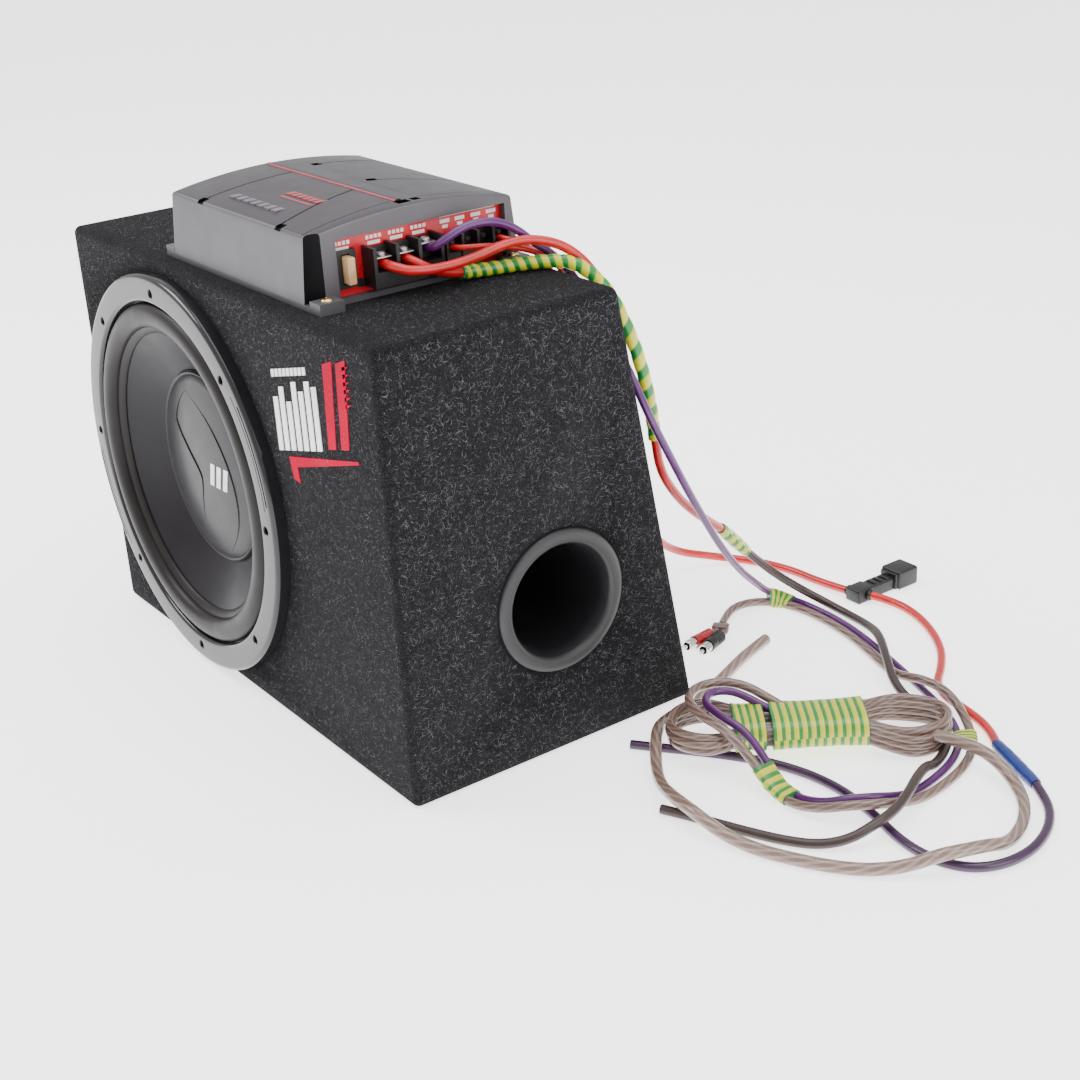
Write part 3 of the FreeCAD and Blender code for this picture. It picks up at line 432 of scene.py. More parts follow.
def centreline(points, count=12):
    """The smooth line that a route's NURBS spline follows."""
    curve = route_curve("guide", points, 0)
    curve.resolution_u = count
    holder = bpy.data.objects.new("guide", curve)
    mesh = bpy.data.meshes.new_from_object(holder)
    line = [vert.co.copy() for vert in mesh.vertices]
    bpy.data.objects.remove(holder)
    return line


def route_curve(name, points, diameter):
    curve = bpy.data.curves.new(name, "CURVE")
    curve.dimensions = "3D"
    spline = curve.splines.new("NURBS")
    spline.points.add(len(points) - 1)
    for knot, point in zip(spline.points, points):
        knot.co = (*point, 1)
    spline.order_u = 3
    spline.use_endpoint_u = True
    curve.resolution_u = 10
    curve.bevel_depth = diameter / 2
    curve.bevel_resolution = 6
    curve.use_fill_caps = True
    return curve


def nearest(line, place):
    """The index of the line's point that is closest to a place."""
    return min(range(len(line)), key=lambda i: (line[i] - place).length)


def squarish(angle, wide, high, power):
    """The reach, at an angle, of a rounded section with these half sizes."""
    c, s = abs(math.cos(angle)), abs(math.sin(angle))
    return ((c / wide) ** power + (s / high) ** power) ** (-1 / power)


def lead(name, points, diameter, material, *nodes, steps=10):
    """A cord along a route; it stands for its CAD tubes."""
    curve = route_curve(name, points, diameter)
    curve.resolution_u = steps
    obj = bpy.data.objects.new(name, curve)
    link(obj, material)
    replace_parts(obj, *nodes)
    return obj


def sweep(name, line, radius, material, segments=28, stretch=(1, 1), ways=None, body=BODY):
    """A tube along a line.  radius(share, angle) gives its skin; u is along, v around.

    ways holds each section's own sideways direction, where it isn't level.
    """
    made = bmesh.new()
    layer = made.loops.layers.uv.new("UVMap")
    rings = []
    side = Vector((0, 0, 1))
    for i, point in enumerate(line):
        way = (line[min(i + 1, len(line) - 1)] - line[max(i - 1, 0)]).normalized()
        across = ways[i] if ways else way.cross(side).normalized()
        up = across.cross(way).normalized()
        share = i / (len(line) - 1)
        ring = []
        for k in range(segments):
            angle = 2 * math.pi * k / segments
            reach = radius(share, angle)
            place = point + across * (reach * stretch[0] * math.cos(angle))
            place += up * (reach * stretch[1] * math.sin(angle))
            ring.append(made.verts.new(place))
        rings.append(ring)
    for i, (first, second) in enumerate(zip(rings, rings[1:])):
        for k in range(segments):
            after = (k + 1) % segments
            face = made.faces.new((first[k], first[after], second[after], second[k]))
            places = ((i, k), (i, k + 1), (i + 1, k + 1), (i + 1, k))
            for loop, (row, column) in zip(face.loops, places):
                loop[layer].uv = (row / (len(line) - 1), column / segments)
    made.faces.new(rings[0])
    made.faces.new(rings[-1])
    return mesh_piece(name, made, material, body)


# ---------------------------------------------------------------- the box

FLOOR_GAP = 0.0002


def wedge(inset, low_z, bevel=0.0):
    """The box's wedge, all its faces moved in by inset, standing at low_z."""
    made = bmesh.new()
    x = HALF_WIDTH - inset
    top = BOX_TOP - inset
    square = math.hypot(1, BACK_SLANT)
    back = SKIN_HIGH.y - inset * square
    outline = ((FRONT + inset, low_z), (back - BACK_SLANT * low_z, low_z),
               (back - BACK_SLANT * top, top), (FRONT + inset, top))
    ends = [[made.verts.new((side, y, z)) for y, z in outline] for side in (-x, x)]
    loft(made, ends)
    bmesh.ops.recalc_face_normals(made, faces=made.faces)
    if bevel:
        bmesh.ops.bevel(made, geom=made.edges[:], offset=bevel, segments=5, affect="EDGES",
                        profile=0.5)
    return made


def make_skin():
    """The felt over the whole box, rounded at its edges, with its three openings."""
    skin = mesh_piece("carpet", wedge(0, FLOOR_GAP, 0.006), CARPET_FELT)
    cut(skin, wedge(CARPET, CARPET))
    holes = bmesh.new()
    for radius, place, segments in ((139.5, WOOFER_FRAME, 96), (44, PORT_FRAME, 64),
                                    (33, CUP_FRAME, 64)):
        lathe(holes, mm([(0, -20), (radius, -20), (radius, 20), (0, 20)]), place, segments, False)
    cut(skin, holes)
    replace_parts(skin, "carpet_skin", "carpet_base")


def skin_point():
    """A random point on the shown faces or an edge of the felt, with its outward way."""
    pick = random.random()
    x = random.uniform(-HALF_WIDTH, HALF_WIDTH) * 0.985
    z = random.uniform(0.006, BOX_TOP - 0.004)
    y = random.uniform(FRONT + 0.004, SKIN_HIGH.y - BACK_SLANT * z - 0.004)
    if pick < 0.36:
        return Vector((x, FRONT, z)), Vector((0, -1, 0))
    if pick < 0.62:
        return Vector((HALF_WIDTH, y, z)), Vector((1, 0, 0))
    if pick < 0.68:
        return Vector((-HALF_WIDTH, y, z)), Vector((-1, 0, 0))
    if pick < 0.82:
        return Vector((x, y * 0.75 - 0.02, BOX_TOP)), Vector((0, 0, 1))
    back = Vector((0, 1, BACK_SLANT)).normalized()
    return Vector((x, SKIN_HIGH.y - BACK_SLANT * z, z)), back


RING_COVERS, PORT_COVERS, CUP_COVERS = 0.163, 0.056, 0.045
EAR_REACH = 0.016
AMP_COVERS_TO = 0.062


def clear_of_fittings(point):
    """False where the driver, the port, the rear cup or the amplifier covers the felt."""
    if (point - WOOFER).length < RING_COVERS and abs(point.y - FRONT) < 0.002:
        return False
    if (point - PORT).length < PORT_COVERS or (point - CUP).length < CUP_COVERS:
        return False
    under = (SHELL_LOW.x - EAR_REACH < point.x < SHELL_HIGH.x + EAR_REACH
             and point.y < AMP_COVERS_TO)
    return not (under and point.z > BOX_TOP - 0.001)


def make_fibres(count=24000):
    """Loose pale fibres that lie on the felt or stand a little off it."""
    made = bmesh.new()
    for _ in range(count):
        point, out = skin_point()
        if not clear_of_fittings(point):
            continue
        side = out.orthogonal().normalized()
        side.rotate(Matrix.Rotation(random.uniform(0, 6.28), 3, out))
        cross = out.cross(side)
        long = random.uniform(0.0012, 0.0045)
        bend = random.uniform(-0.0009, 0.0009)
        lift = random.uniform(0.0003, 0.0011)
        thin = random.uniform(0.00005, 0.00012)
        row = []
        for step in range(4):
            t = step / 3
            centre = point + side * long * (t - 0.5) + cross * bend * 4 * t * (1 - t)
            centre += out * (0.00015 + lift * math.sin(math.pi * t))
            width = thin * (1.0 - 0.5 * abs(2 * t - 1))
            row.append((made.verts.new(centre + cross * width),
                        made.verts.new(centre - cross * width)))
        for first, second in zip(row, row[1:]):
            made.faces.new((first[0], first[1], second[1], second[0]))
    fibres = mesh_piece("carpet_fibres", made, FIBRE, smooth=False)


def front_shape(made, corners, proud=0.0007, thick=0.0006):
    """A flat shape of (x, z) corners, laid on the front felt."""
    loft(made, [[made.verts.new((x, y, z)) for x, z in corners]
                for y in (FRONT - proud, FRONT - proud + thick)])


def make_decal():
    """A plain print in the place of the maker's: bars, a red pair, wedges and an underline."""
    left, foot, slope = 0.0945, 0.2305, 0.257

    def shape(made, *corners):
        front_shape(made, [(left + u / 1000, foot + v / 1000 + slope * u / 1000)
                           for u, v in corners])

    def bar(made, u, v, wide, high):
        shape(made, (u, v), (u + wide, v), (u + wide, v + high), (u, v + high))

    white = bmesh.new()
    for i, high in enumerate((40, 47, 36, 50, 43, 50, 46)):
        bar(white, 0.8 + i * 9.6, 0, 6.6, high)
    for i in range(9):
        bar(white, 2 + i * 5.8, 54.5, 4, 5.5)
    mesh_piece("front_print_white", white, WHITE_INK, smooth=False)

    red = bmesh.new()
    for u in (74.5, 92.5):
        shape(red, (u, 1.5), (u + 10.5, 1.5), (u + 16.5, 63.5), (u + 3.5, 61.5))
    for i in range(6):
        v = 30 + 5.2 * i
        shape(red, (104.5, v), (112.5, v + 2.8), (104.5, v + 3))
    shape(red, (18.5, -21.5), (14.5, -4.5), (113.5, -6.5), (115, -8.8), (25.5, -12.5),
          (27.5, -24.5))
    mesh_piece("front_print_red", red, RED_INK, smooth=False)


# ---------------------------------------------------------------- the driver

def make_ring():
    profile = rounded(mm([(161, 0, 0), (161, 9.2, 1.6), (158.5, 11, 1.6), (141.3, 11, 1.4),
                          (139.2, 9, 1.2), (139.2, 3.4, 0), (141.5, 3.4, 0), (141.5, 8, 0),
                          (158, 8, 0), (158, 0, 0)]))
    made = lathe(bmesh.new(), profile, WOOFER_FRAME, 256)
    ring = mesh_piece("driver_ring", made, RING_GLOSS)
    holes = bmesh.new()
    for i in range(8):
        turn = WOOFER_FRAME @ Matrix.Rotation(math.pi * i / 4, 4, "Z")
        turn = turn @ Matrix.Translation((0.148, 0, 0))
        lathe(holes, mm([(0, 5), (3.4, 5), (3.4, 10.2), (4.3, 11.6), (0, 11.6)]), turn, 32, False)
    cut(ring, holes)
    slots = bmesh.new()
    for middle in (22.5, 202.5):
        for low, high, near, far in ((151.2, 152.2, -16.5, 16.5), (154.6, 156.4, -15, 13)):
            arc_slot(slots, low, high, middle + near, middle + far)
    cut(ring, slots)
    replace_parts(ring, "trim_ring")


def arc_slot(made, inner, outer, start, end, depth=9.9, top=12, steps=24):
    """A curved bar that cuts a slot into the ring's face, its radii in millimetres."""
    rows = []
    for i in range(steps + 1):
        angle = math.radians(start + (end - start) * i / steps)
        row = []
        for radius, height in ((inner, depth), (outer, depth), (outer, top), (inner, top)):
            place = Vector((radius * math.cos(angle), radius * math.sin(angle), height)) * 0.001
            row.append(made.verts.new(WOOFER_FRAME @ place))
        rows.append(row)
    loft(made, rows)


def flexing(name, made, material, inner, outer):
    """A ring weighted to the cone at its inner radius and to the box at its outer one.
    """
    mesh = mesh_from(name, made, sharp=50)
    obj = bpy.data.objects.new(name, mesh)
    bpy.context.scene.collection.objects.link(obj)
    mesh.materials.append(material)
    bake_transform(obj, BODY, CONE, WOOFER, WOOFER + Vector((outer, 0, 0)))
    share = mesh.attributes["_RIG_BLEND"].data
    for vert in mesh.vertices:
        radius = math.hypot(vert.co.x - WOOFER.x, vert.co.z - WOOFER.z)
        t = max(0.0, min(1.0, (outer - radius) / (outer - inner)))
        share[vert.index].value = t * t * (3 - 2 * t)
    return obj


def make_spider():
    """The corrugated cloth disc behind the cone."""
    outer, inner, steps = 84, 26.6, 60
    base, wave, waves_per_mm, flat_edge, thick = -55.4, 1.5, 0.72, 6, 0.7
    top = []
    for i in range(steps + 1):
        radius = outer - (outer - inner) * i / steps
        share = max(0.0, min(1.0, (outer - radius) / flat_edge, (radius - inner) / flat_edge))
        top.append((radius, base + wave * share * math.sin((outer - radius) * waves_per_mm)))
    under = [(radius, height - thick) for radius, height in reversed(top)]
    piece = flexing("driver_spider", lathe(bmesh.new(), mm(top + under), WOOFER_FRAME, 160), CLOTH,
                    0.0272, 0.08)
    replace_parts(piece, "spider")


def make_surround():
    """The half-round roll between ring and cone, with a flat lip at both edges."""
    middle, reach, base = 128.1, 9.9, 3.6
    top = [(138.6, 3.2), (138.6, base + 0.8)]
    for i in range(25):
        angle = math.pi * i / 24
        top.append((middle + reach * math.cos(angle), base + 1 + 7.4 * math.sin(angle)))
    top += [(116.5, 3.6), (113.2, 1.7), (112.8, 0.5)]
    under = [(117.6, 2.9)]
    for i in range(13):
        angle = math.pi - math.pi * i / 12
        under.append((middle + 8.7 * math.cos(angle), base + 6.2 * math.sin(angle)))
    piece = flexing("driver_roll", lathe(bmesh.new(), mm(top + under), WOOFER_FRAME, 256), RUBBER,
                    0.118, 0.1385)
    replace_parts(piece, "surround")


CONE_RIM, CONE_NECK = 118, 26.1


def cone_height(radius):
    """The cone's face bows slightly below the straight line from rim to neck."""
    t = (radius - CONE_NECK) / (CONE_RIM - CONE_NECK)
    return -48.8 + 51.5 * t - 1.1 * math.sin(math.pi * t)


def make_cone():
    radii = (CONE_RIM, 116, 112, 106, 98, 88, 79, 60, 40, 26.2)
    face = [(radius, cone_height(radius)) for radius in radii]
    under = [(radius, height - 1.0) for radius, height in reversed(face)]
    piece = mesh_piece("driver_cone", lathe(bmesh.new(), mm(face + under), WOOFER_FRAME, 256),
                       CONE_SATIN, CONE)
    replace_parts(piece, "cone")


def cap_height(radius):
    return -18.4 + 7.2 * (1 - (radius / 78) ** 2.4)


def make_cap():
    """A shallow dome with a rolled rim, a pressed wedge and a plain mark."""
    rim = [(78.6, cone_height(78.6) + 0.5), (78.3, cone_height(78.3) + 1.7), (77.2, -17.6),
           (76.2, -17.9), (75.4, -18.4), (74.4, cap_height(74.4))]
    dome = [(radius, cap_height(radius)) for radius in (70, 60, 50, 40, 30, 20, 10, 0)]
    under = [(radius, cap_height(radius) - 0.9) for radius in (0, 20, 40, 60, 70, 76)]
    piece = mesh_piece("driver_cap", lathe(bmesh.new(), mm(rim + dome + under), WOOFER_FRAME, 224,
                                           False), CAP_SATIN, CONE)
    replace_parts(piece, "dust_cap")

    def on_cap(x, y, lift=0.0):
        height = cap_height(math.hypot(x, y)) + lift
        return WOOFER_FRAME @ Vector((x * 0.001, y * 0.001, height * 0.001))

    def crease(share, angle):
        return 0.0009 * math.sin(math.pi * (0.06 + 0.88 * share))

    # The crease is drawn in the near-black material as painted shade along the fold; the arc keeps the cap's
    # colour.
    for name, tone, route in (
            ("cap_crease", GROOVE_PAINTED_SHADE, [(-22, 60), (-33, 52), (-43, 34), (-40, 27), (-18, 9),
                                          (-3, -4), (-2, -12), (-9, -34), (-13, -50)]),
            ("cap_arc", CAP_SATIN, [(-22, 60), (4, 52), (30, 34), (48, 8), (52, -22), (40, -50),
                                    (22, -66)])):
        flat = centreline([Vector((x, y, 0)) for x, y in route], 8)
        sweep(name, [on_cap(point.x, point.y, -0.1) for point in flat], crease, tone, 12, body=CONE)
    mark = bmesh.new()
    for x in (17, 27, 37):
        corners = ((x - 4.5, -9), (x + 1.5, -9), (x + 6.5, 10), (x + 0.5, 10))
        loft(mark, [[mark.verts.new(on_cap(*corner, lift)) for corner in corners]
                    for lift in (0.5, -0.2)])
    mesh_piece("cap_mark", mark, WHITE_INK, CONE, smooth=False)


# ---------------------------------------------------------------- port and rear cup

def make_port():
    profile = rounded(mm([(54, 0, 0), (54, 2.4, 1.8), (50.6, 3.8, 2.2), (43.5, 3.8, 3.5),
                          (40.5, -6, 4.5), (40.5, -150, 0), (43, -150, 0), (43, -4, 0),
                          (43.6, 0, 0)]), 8)
    piece = mesh_piece("port", lathe(bmesh.new(), profile, PORT_FRAME, 192), PORT_PLASTIC)
    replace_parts(piece, "port_tube")


def make_cup():
    profile = rounded(mm([(0, -20, 0), (28, -20, 1.5), (28, 0, 0), (38, 0, 0), (38, 3, 1.2),
                          (27, 3, 1.5), (25.6, -17.5, 1), (0, -17.5, 0)]))
    piece = mesh_piece("rear_cup", lathe(bmesh.new(), profile, CUP_FRAME, 128, False),
                       BLACK_PLASTIC)
    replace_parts(piece, "terminal_cup")
    for name, side, tone in (("post_black", -1, BLACK_PLASTIC), ("post_red", 1, RED_PLASTIC)):
        made = bmesh.new()
        at = CUP_FRAME @ Matrix.Translation((side * 0.009, 0, 0))
        ridges = [(4.9 if i % 2 else 5.35, 1.0 + i * 0.55) for i in range(17)]
        stem = [(0, -17.5), (3, -17.5), (3, -1), (5.2, -1)]
        lathe(made, mm(stem + ridges + [(4.3, 11.4), (0, 11.4)]), at, 64, False)
        mesh_piece(name, made, tone)
    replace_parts(bpy.data.objects["post_red"], "binding_posts")


# ---------------------------------------------------------------- the amplifier

DOME_RISE = 0.008
EDGE_Z = SHELL_HIGH.z - DOME_RISE
LEAN = 0.0045
AMP_MIDDLE = (SHELL_LOW.y + SHELL_HIGH.y) / 2
HALF_SPAN = (SHELL_HIGH.y - SHELL_LOW.y) / 2 - LEAN
DOME_RADIUS = (HALF_SPAN ** 2 + DOME_RISE ** 2) / (2 * DOME_RISE)
FRONT_EDGE = SHELL_LOW.y - 0.004
BACK_EDGE = SHELL_HIGH.y + 0.004
COVE = Vector((SHELL_HIGH.x + 0.0015, SHELL_LOW.y + 0.0035, 0))
COVE_RADIUS = 0.0095


def dome(y):
    """The height of the amplifier's bowed top."""
    return SHELL_HIGH.z - DOME_RADIUS + math.sqrt(DOME_RADIUS ** 2 - (y - AMP_MIDDLE) ** 2)


def dome_safe(y):
    """The height of the top, or of its edge for a place past it."""
    return dome(max(AMP_MIDDLE - HALF_SPAN, min(AMP_MIDDLE + HALF_SPAN, y)))


def strip(made, line, half, depth, above=0.004):
    """A cutter for a groove along (x, y) points on the top."""
    rows = []
    for i, (x, y) in enumerate(line):
        ahead = Vector(line[min(i + 1, len(line) - 1)]) - Vector(line[max(i - 1, 0)])
        side = Vector((ahead.y, -ahead.x)).normalized() * half
        rows.append([made.verts.new((x + sx * side.x, y + sx * side.y, dome_safe(y) + dz))
                     for sx, dz in ((-1, -depth), (1, -depth), (1, above), (-1, above))])
    loft(made, rows)


def between(start, end, steps=14):
    return [(start[0] + (end[0] - start[0]) * i / steps, start[1] + (end[1] - start[1]) * i / steps)
            for i in range(steps + 1)]


def cut_strips(shell, steps, *strips):
    """Cut grooves into the cover, each given by its ends, half its width and its depth."""
    made = bmesh.new()
    for start, end, half, depth in strips:
        strip(made, between(start, end, steps), half, depth)
    cut(shell, made)


def cover_solid():
    """The cover's outside: a bowed top on leaning walls, with its long edges softened."""
    made = bmesh.new()
    low, steps = SHELL_LOW.z, 32
    walls = [(SHELL_LOW.y, low), (SHELL_LOW.y + LEAN, EDGE_Z)]
    for i in range(1, steps):
        y = AMP_MIDDLE - HALF_SPAN + 2 * HALF_SPAN * i / steps
        walls.append((y, dome(y)))
    walls += [(SHELL_HIGH.y - LEAN, EDGE_Z), (SHELL_HIGH.y, low)]
    loft(made, [[made.verts.new((x, y, z)) for y, z in walls]
                for x in (SHELL_LOW.x, SHELL_HIGH.x)])
    bmesh.ops.recalc_face_normals(made, faces=made.faces)
    made.edges.ensure_lookup_table()
    soft = [edge for edge in made.edges
            if min(vert.co.z for vert in edge.verts) > low + 0.001
            and edge.calc_face_angle(0) > 0.5]
    bmesh.ops.bevel(made, geom=soft, offset=0.0022, segments=3, affect="EDGES", profile=0.5)
    return made


def make_shell():
    """The pressed cover: hollow, grooved, with an open window at each end."""
    low = SHELL_LOW.z
    shell = mesh_piece("amp_cover", cover_solid(), AMP_TOP)
    inside = bmesh.new()
    block(inside, (SHELL_LOW.x + 0.004, SHELL_LOW.y + 0.0135, low - 0.01),
          (SHELL_HIGH.x - 0.006, SHELL_HIGH.y - 0.0085, EDGE_Z - 0.003))
    cut(shell, inside)
    windows = bmesh.new()
    for x, front, back, foot in ((SHELL_HIGH.x, -0.088, 0.05, low - 0.001),
                                 (SHELL_LOW.x, -0.088, 0.042, low + 0.004)):
        block(windows, (x - 0.01, front, foot), (x + 0.01, back, 0.381))
    cut(shell, windows)
    cove = bmesh.new()
    lathe(cove, [(0, low - 0.01), (COVE_RADIUS, low - 0.01), (COVE_RADIUS, 0.4), (0, 0.4)],
          Matrix.Translation(COVE), 32, False)
    cut(shell, cove)
    front, back = AMP_MIDDLE - 0.004, AMP_MIDDLE + 0.02
    cut_strips(shell, 14, *[(start, end, 0.0009, 0.0013) for start, end in (
        ((-0.025, FRONT_EDGE), (-0.025, front)), ((0.094, FRONT_EDGE), (0.064, front)),
        ((-0.038, back), (-0.040, BACK_EDGE)), ((0.042, back), (0.075, BACK_EDGE)))])
    cut_strips(shell, 4, *[(start, end, half, 0.0022) for start, end, half in (
        ((-0.025, FRONT_EDGE), (-0.025, -0.1015), 0.0042),
        ((0.094, FRONT_EDGE), (0.0915, -0.1015), 0.0042),
        ((-0.038, back), (-0.038, AMP_MIDDLE + 0.027), 0.004),
        ((0.042, back), (0.0445, AMP_MIDDLE + 0.027), 0.004),
        ((0.119, AMP_MIDDLE), (0.128, AMP_MIDDLE), 0.0052),
        ((0.119, AMP_MIDDLE + 0.011), (0.126, AMP_MIDDLE + 0.011), 0.0032))])
    cut_strips(shell, 14, ((0.126, FRONT_EDGE), (0.117, AMP_MIDDLE - 0.006), 0.0005, 0.0007),
               ((0.117, AMP_MIDDLE + 0.016), (0.127, BACK_EDGE), 0.0005, 0.0007))
    paint_cover(shell.data)
    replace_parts(shell, "amp_shell")


def paint_cover(mesh):
    """The top's paint, the walls' paint, and black painted shade in the grooves and the cove."""
    for face in mesh.polygons:
        face.use_smooth = True
    mesh.set_sharp_from_angle(angle=math.radians(28))
    mesh.materials.clear()
    for material in (AMP_TOP, AMP_PAINT, GROOVE_PAINTED_SHADE):
        mesh.materials.append(material)
    top, wall, groove = range(3)
    skin_deep = 0.0006
    for face in mesh.polygons:
        middle = face.center
        deep = dome_safe(middle.y) - middle.z
        face.material_index = top if face.normal.z > 0.5 and deep < skin_deep else wall
        in_top = middle.z > EDGE_Z - 0.004 and abs(middle.x) < 0.134
        off_edges = SHELL_LOW.y + 0.0055 < middle.y < SHELL_HIGH.y - 0.0055
        in_cove = math.hypot(middle.x - COVE.x, middle.y - COVE.y) < COVE_RADIUS + 0.0003
        # The cove and the top's grooves take the near-black material: painted shade in these recesses.
        if in_cove or (skin_deep < deep < 0.0026 and in_top and off_edges):
            face.material_index = groove


def make_ridge():
    """A slim rounded rib along the crown, red along one side."""
    for name, offset, radius, tone in (("amp_rib", 0.0, 0.0021, AMP_TOP),
                                       ("amp_rib_line", 0.0022, 0.0013, RED_LINE)):
        y = AMP_MIDDLE - offset
        line = [Vector((x, y, dome(y) + 0.0001)) for x, _ in between((-0.069, 0), (0.119, 0), 24)]
        sweep(name, line, lambda share, angle, r=radius: r * min(1, 12 * share + 0.5), tone, 16,
              (1, 0.55))


def make_badges():
    """Small plain bars where the cover carries its printing."""
    def bar(made, x, y, wide, high, at, deep=0.0012):
        block(made, (x, y, dome(at) - deep), (x + wide, high, dome(at) + 0.0002))

    grey = bmesh.new()
    for i in range(7):
        bar(grey, -0.008 + i * 0.0105, -0.092, 0.0076, -0.079, -0.0855)
    mesh_piece("cover_marks_grey", grey, GREY_INK, smooth=False)
    red = bmesh.new()
    for i in range(6):
        bar(red, 0.030 + i * 0.0078, -0.066, 0.0058, -0.056, -0.061)
    bar(red, 0.030, -0.0715, 0.045, -0.069, -0.0703, 0.001)
    mesh_piece("cover_marks_red", red, RED_LINE, smooth=False)


def make_panel_marks():
    """White ticks and a thin line over the terminals, with no lettering."""
    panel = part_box("label_panel")[1].x
    made = bmesh.new()

    def tick(y, z, wide, high):
        block(made, (panel - 0.0004, y - wide / 2, z - high / 2),
              (panel + 0.0002, y + wide / 2, z + high / 2))

    for y in (-0.080, -0.055, -0.037, -0.019):
        for i in range(4):
            tick(y - 0.005 + i * 0.0033, 0.3765, 0.0023, 0.0026)
        tick(y, 0.3725, 0.010, 0.0024)
    for y in (0.003, 0.0155, 0.029, 0.042):
        tick(y, 0.376, 0.008, 0.0026)
        tick(y, 0.3722, 0.0045, 0.0022)
    tick(0.022, 0.3793, 0.046, 0.0005)
    mesh_piece("panel_marks", made, WHITE_INK, smooth=False)


def make_terminal_details():
    """Domed screws and plates on the power clamps, and the blade fuse with its prongs."""
    made = bmesh.new()
    for i, z in enumerate((0.3646, 0.3646, 0.3678)):
        y = -0.055 + 0.018 * i
        lathe(made, mm([(0, 0), (3.6, 0), (3.7, 1.4), (2.9, 2.5), (0, 2.7)]),
              Matrix.Translation((0.138, y, z)), 40, False)
        block(made, (0.1315, y - 0.006, z - 0.0012), (0.143, y + 0.006, z), bevel=0.0004)
    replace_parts(mesh_piece("clamps", made, ZINC), "power_clamps")
    fuse_low, fuse_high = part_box("blade_fuse")
    made = bmesh.new()
    block(made, (0.1305, fuse_low.y, fuse_low.z), (fuse_high.x, fuse_high.y, fuse_high.z),
          bevel=0.0011, segments=3)
    block(made, (fuse_high.x - 0.0012, fuse_low.y + 0.001, fuse_low.z + 0.005),
          (fuse_high.x + 0.0003, fuse_high.y - 0.001, fuse_high.z - 0.005), bevel=0.0003)
    for z in (fuse_low.z + 0.001, fuse_low.z + 0.013):
        block(made, (0.1225, -0.0804, z), (0.131, -0.0796, z + 0.005))
    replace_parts(mesh_piece("fuse_blade", made, TAN, "fuse"), "blade_fuse")


def make_foot_screws():
    """Brass-coloured domed screws in the ears."""
    low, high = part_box("amp_screws")
    head = 0.0042
    made = bmesh.new()
    for x in (low.x + head, high.x - head):
        for y in (low.y + head, high.y - head):
            at = Matrix.Translation((x, y, high.z - 0.002))
            lathe(made, mm([(0, -6), (2.1, -6), (2.1, 0), (4.2, 0), (4.1, 0.7), (3, 1.6), (1.2, 1.95),
                            (0, 1.2)]), at, 40, False)
    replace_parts(mesh_piece("ear_screws", made, BRASS), "amp_screws")


def make_control_end():
    """The gain knob at the end that faces away, with its pointer."""
    low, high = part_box("gain_knob")
    made = bmesh.new()
    middle = (low + high) / 2
    turn = Matrix.Translation((high.x, middle.y, middle.z)) @ Matrix.Rotation(-math.pi / 2, 4, "Y")
    lathe(made, mm([(0, 0), (4.9, 0), (4.9, 5.2), (4.3, 6.8), (0, 6.9)]), turn, 48, False)
    block(made, (low.x - 0.0002, middle.y - 0.0004, middle.z + 0.001),
          (low.x + 0.001, middle.y + 0.0004, high.z - 0.0005))
    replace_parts(mesh_piece("knob", made, BLACK_PLASTIC, "knob"), "gain_knob")


CARRIED = (
    (FIBREBOARD, "front_baffle back_panel bottom_panel top_panel left_panel right_panel"),
    (DARK_METAL, "woofer_frame"), (COPPER, "voice_coil"), (FERRITE, "magnet"),
    (ZINC, "top_plate back_plate"), (AMP_PAINT, "amp_base"), (BRASS, "signal_jacks"),
    (BLACK_ZINC, "woofer_screws terminal_cup_screws panel_screws"),
    (RED_PANEL, "label_panel control_panel"), (RED_PLASTIC, "power_light"),
    (BLACK_PLASTIC, "woofer_terminals power_terminal_block speaker_terminal_block fuse_socket"),
    (BLACK_PLASTIC, "filter_switch boost_switch board_components"),
    (BOARD_GREEN, "circuit_board"), (RED_CABLE, "inner_wires"))


def finish_carried():
    """Materials for the CAD parts that stay in the picture."""
    for material, names in CARRIED:
        for name in names.split():
            for holder in NODES[name].material_slots:
                holder.material = material


# ---------------------------------------------------------------- cords
# The routes repeat part.py's, in millimetres.

POWER_LEAD = mm([
    (138, -55, 359.4), (149, -54.5, 359), (158.5, -44, 354.5), (161.5, -18, 353), (161, 8, 355),
    (162, 30, 360), (165, 52, 360), (173, 75, 352), (181, 93, 332), (180, 109, 296), (167, 126, 248),
    (146, 146, 194), (120, 170, 140), (94, 196, 92), (72, 224, 50), (59, 258, 21), (66, 296, 7),
    (94, 321, 4), (130, 332, 3.8), (166, 331, 4.6), (197.3, 334, 6.5)])
POWER_TAIL = mm([
    (214.7, 341, 6.5), (235, 349, 5), (264, 346, 3.8), (296, 331, 3.8), (322, 312, 3.8), (341, 290, 3.8),
    (354, 271, 3.8), (372, 260.5, 3.8), (394, 256.5, 3.8), (416, 251.5, 3.8), (434, 242.5, 4.2),
    (447, 232.5, 5)])
PURPLE_TAIL = mm([
    (498, 212, 5), (514, 204, 3.8), (530, 190, 3.8), (542, 171, 3.8), (549, 149, 3.8), (548.5, 126, 3.8),
    (540, 107, 3.8), (524, 96, 3.8), (503, 92.5, 3.8), (481, 95, 3.8), (459, 101.5, 3.8),
    (437, 106.5, 3.8), (414, 109, 3.8), (391, 107.5, 3.8), (369, 102, 3.8), (347, 92.5, 3.8),
    (325, 78.5, 3.8), (303, 63, 3.8), (287, 50.5, 3.8), (271, 39, 3.8)])
GROUND_LEAD = mm([
    (138, -37, 359.4), (146.5, -36.5, 359), (153, -27, 352), (153.5, -12, 346.5), (151, 0, 343.6)])
TAPE_WRAP = mm([
    (151, 0, 343.6), (152, 20, 342), (157.5, 41, 342), (168, 60, 343), (182, 78, 341), (195, 95, 320),
    (202.5, 111, 276), (203.5, 121, 236), (201, 127, 200)])
GROUND_TAIL = mm([
    (201, 127, 200), (198.5, 133, 172), (196.5, 149, 147), (191, 170, 126), (184, 193, 108),
    (178, 210, 95)])
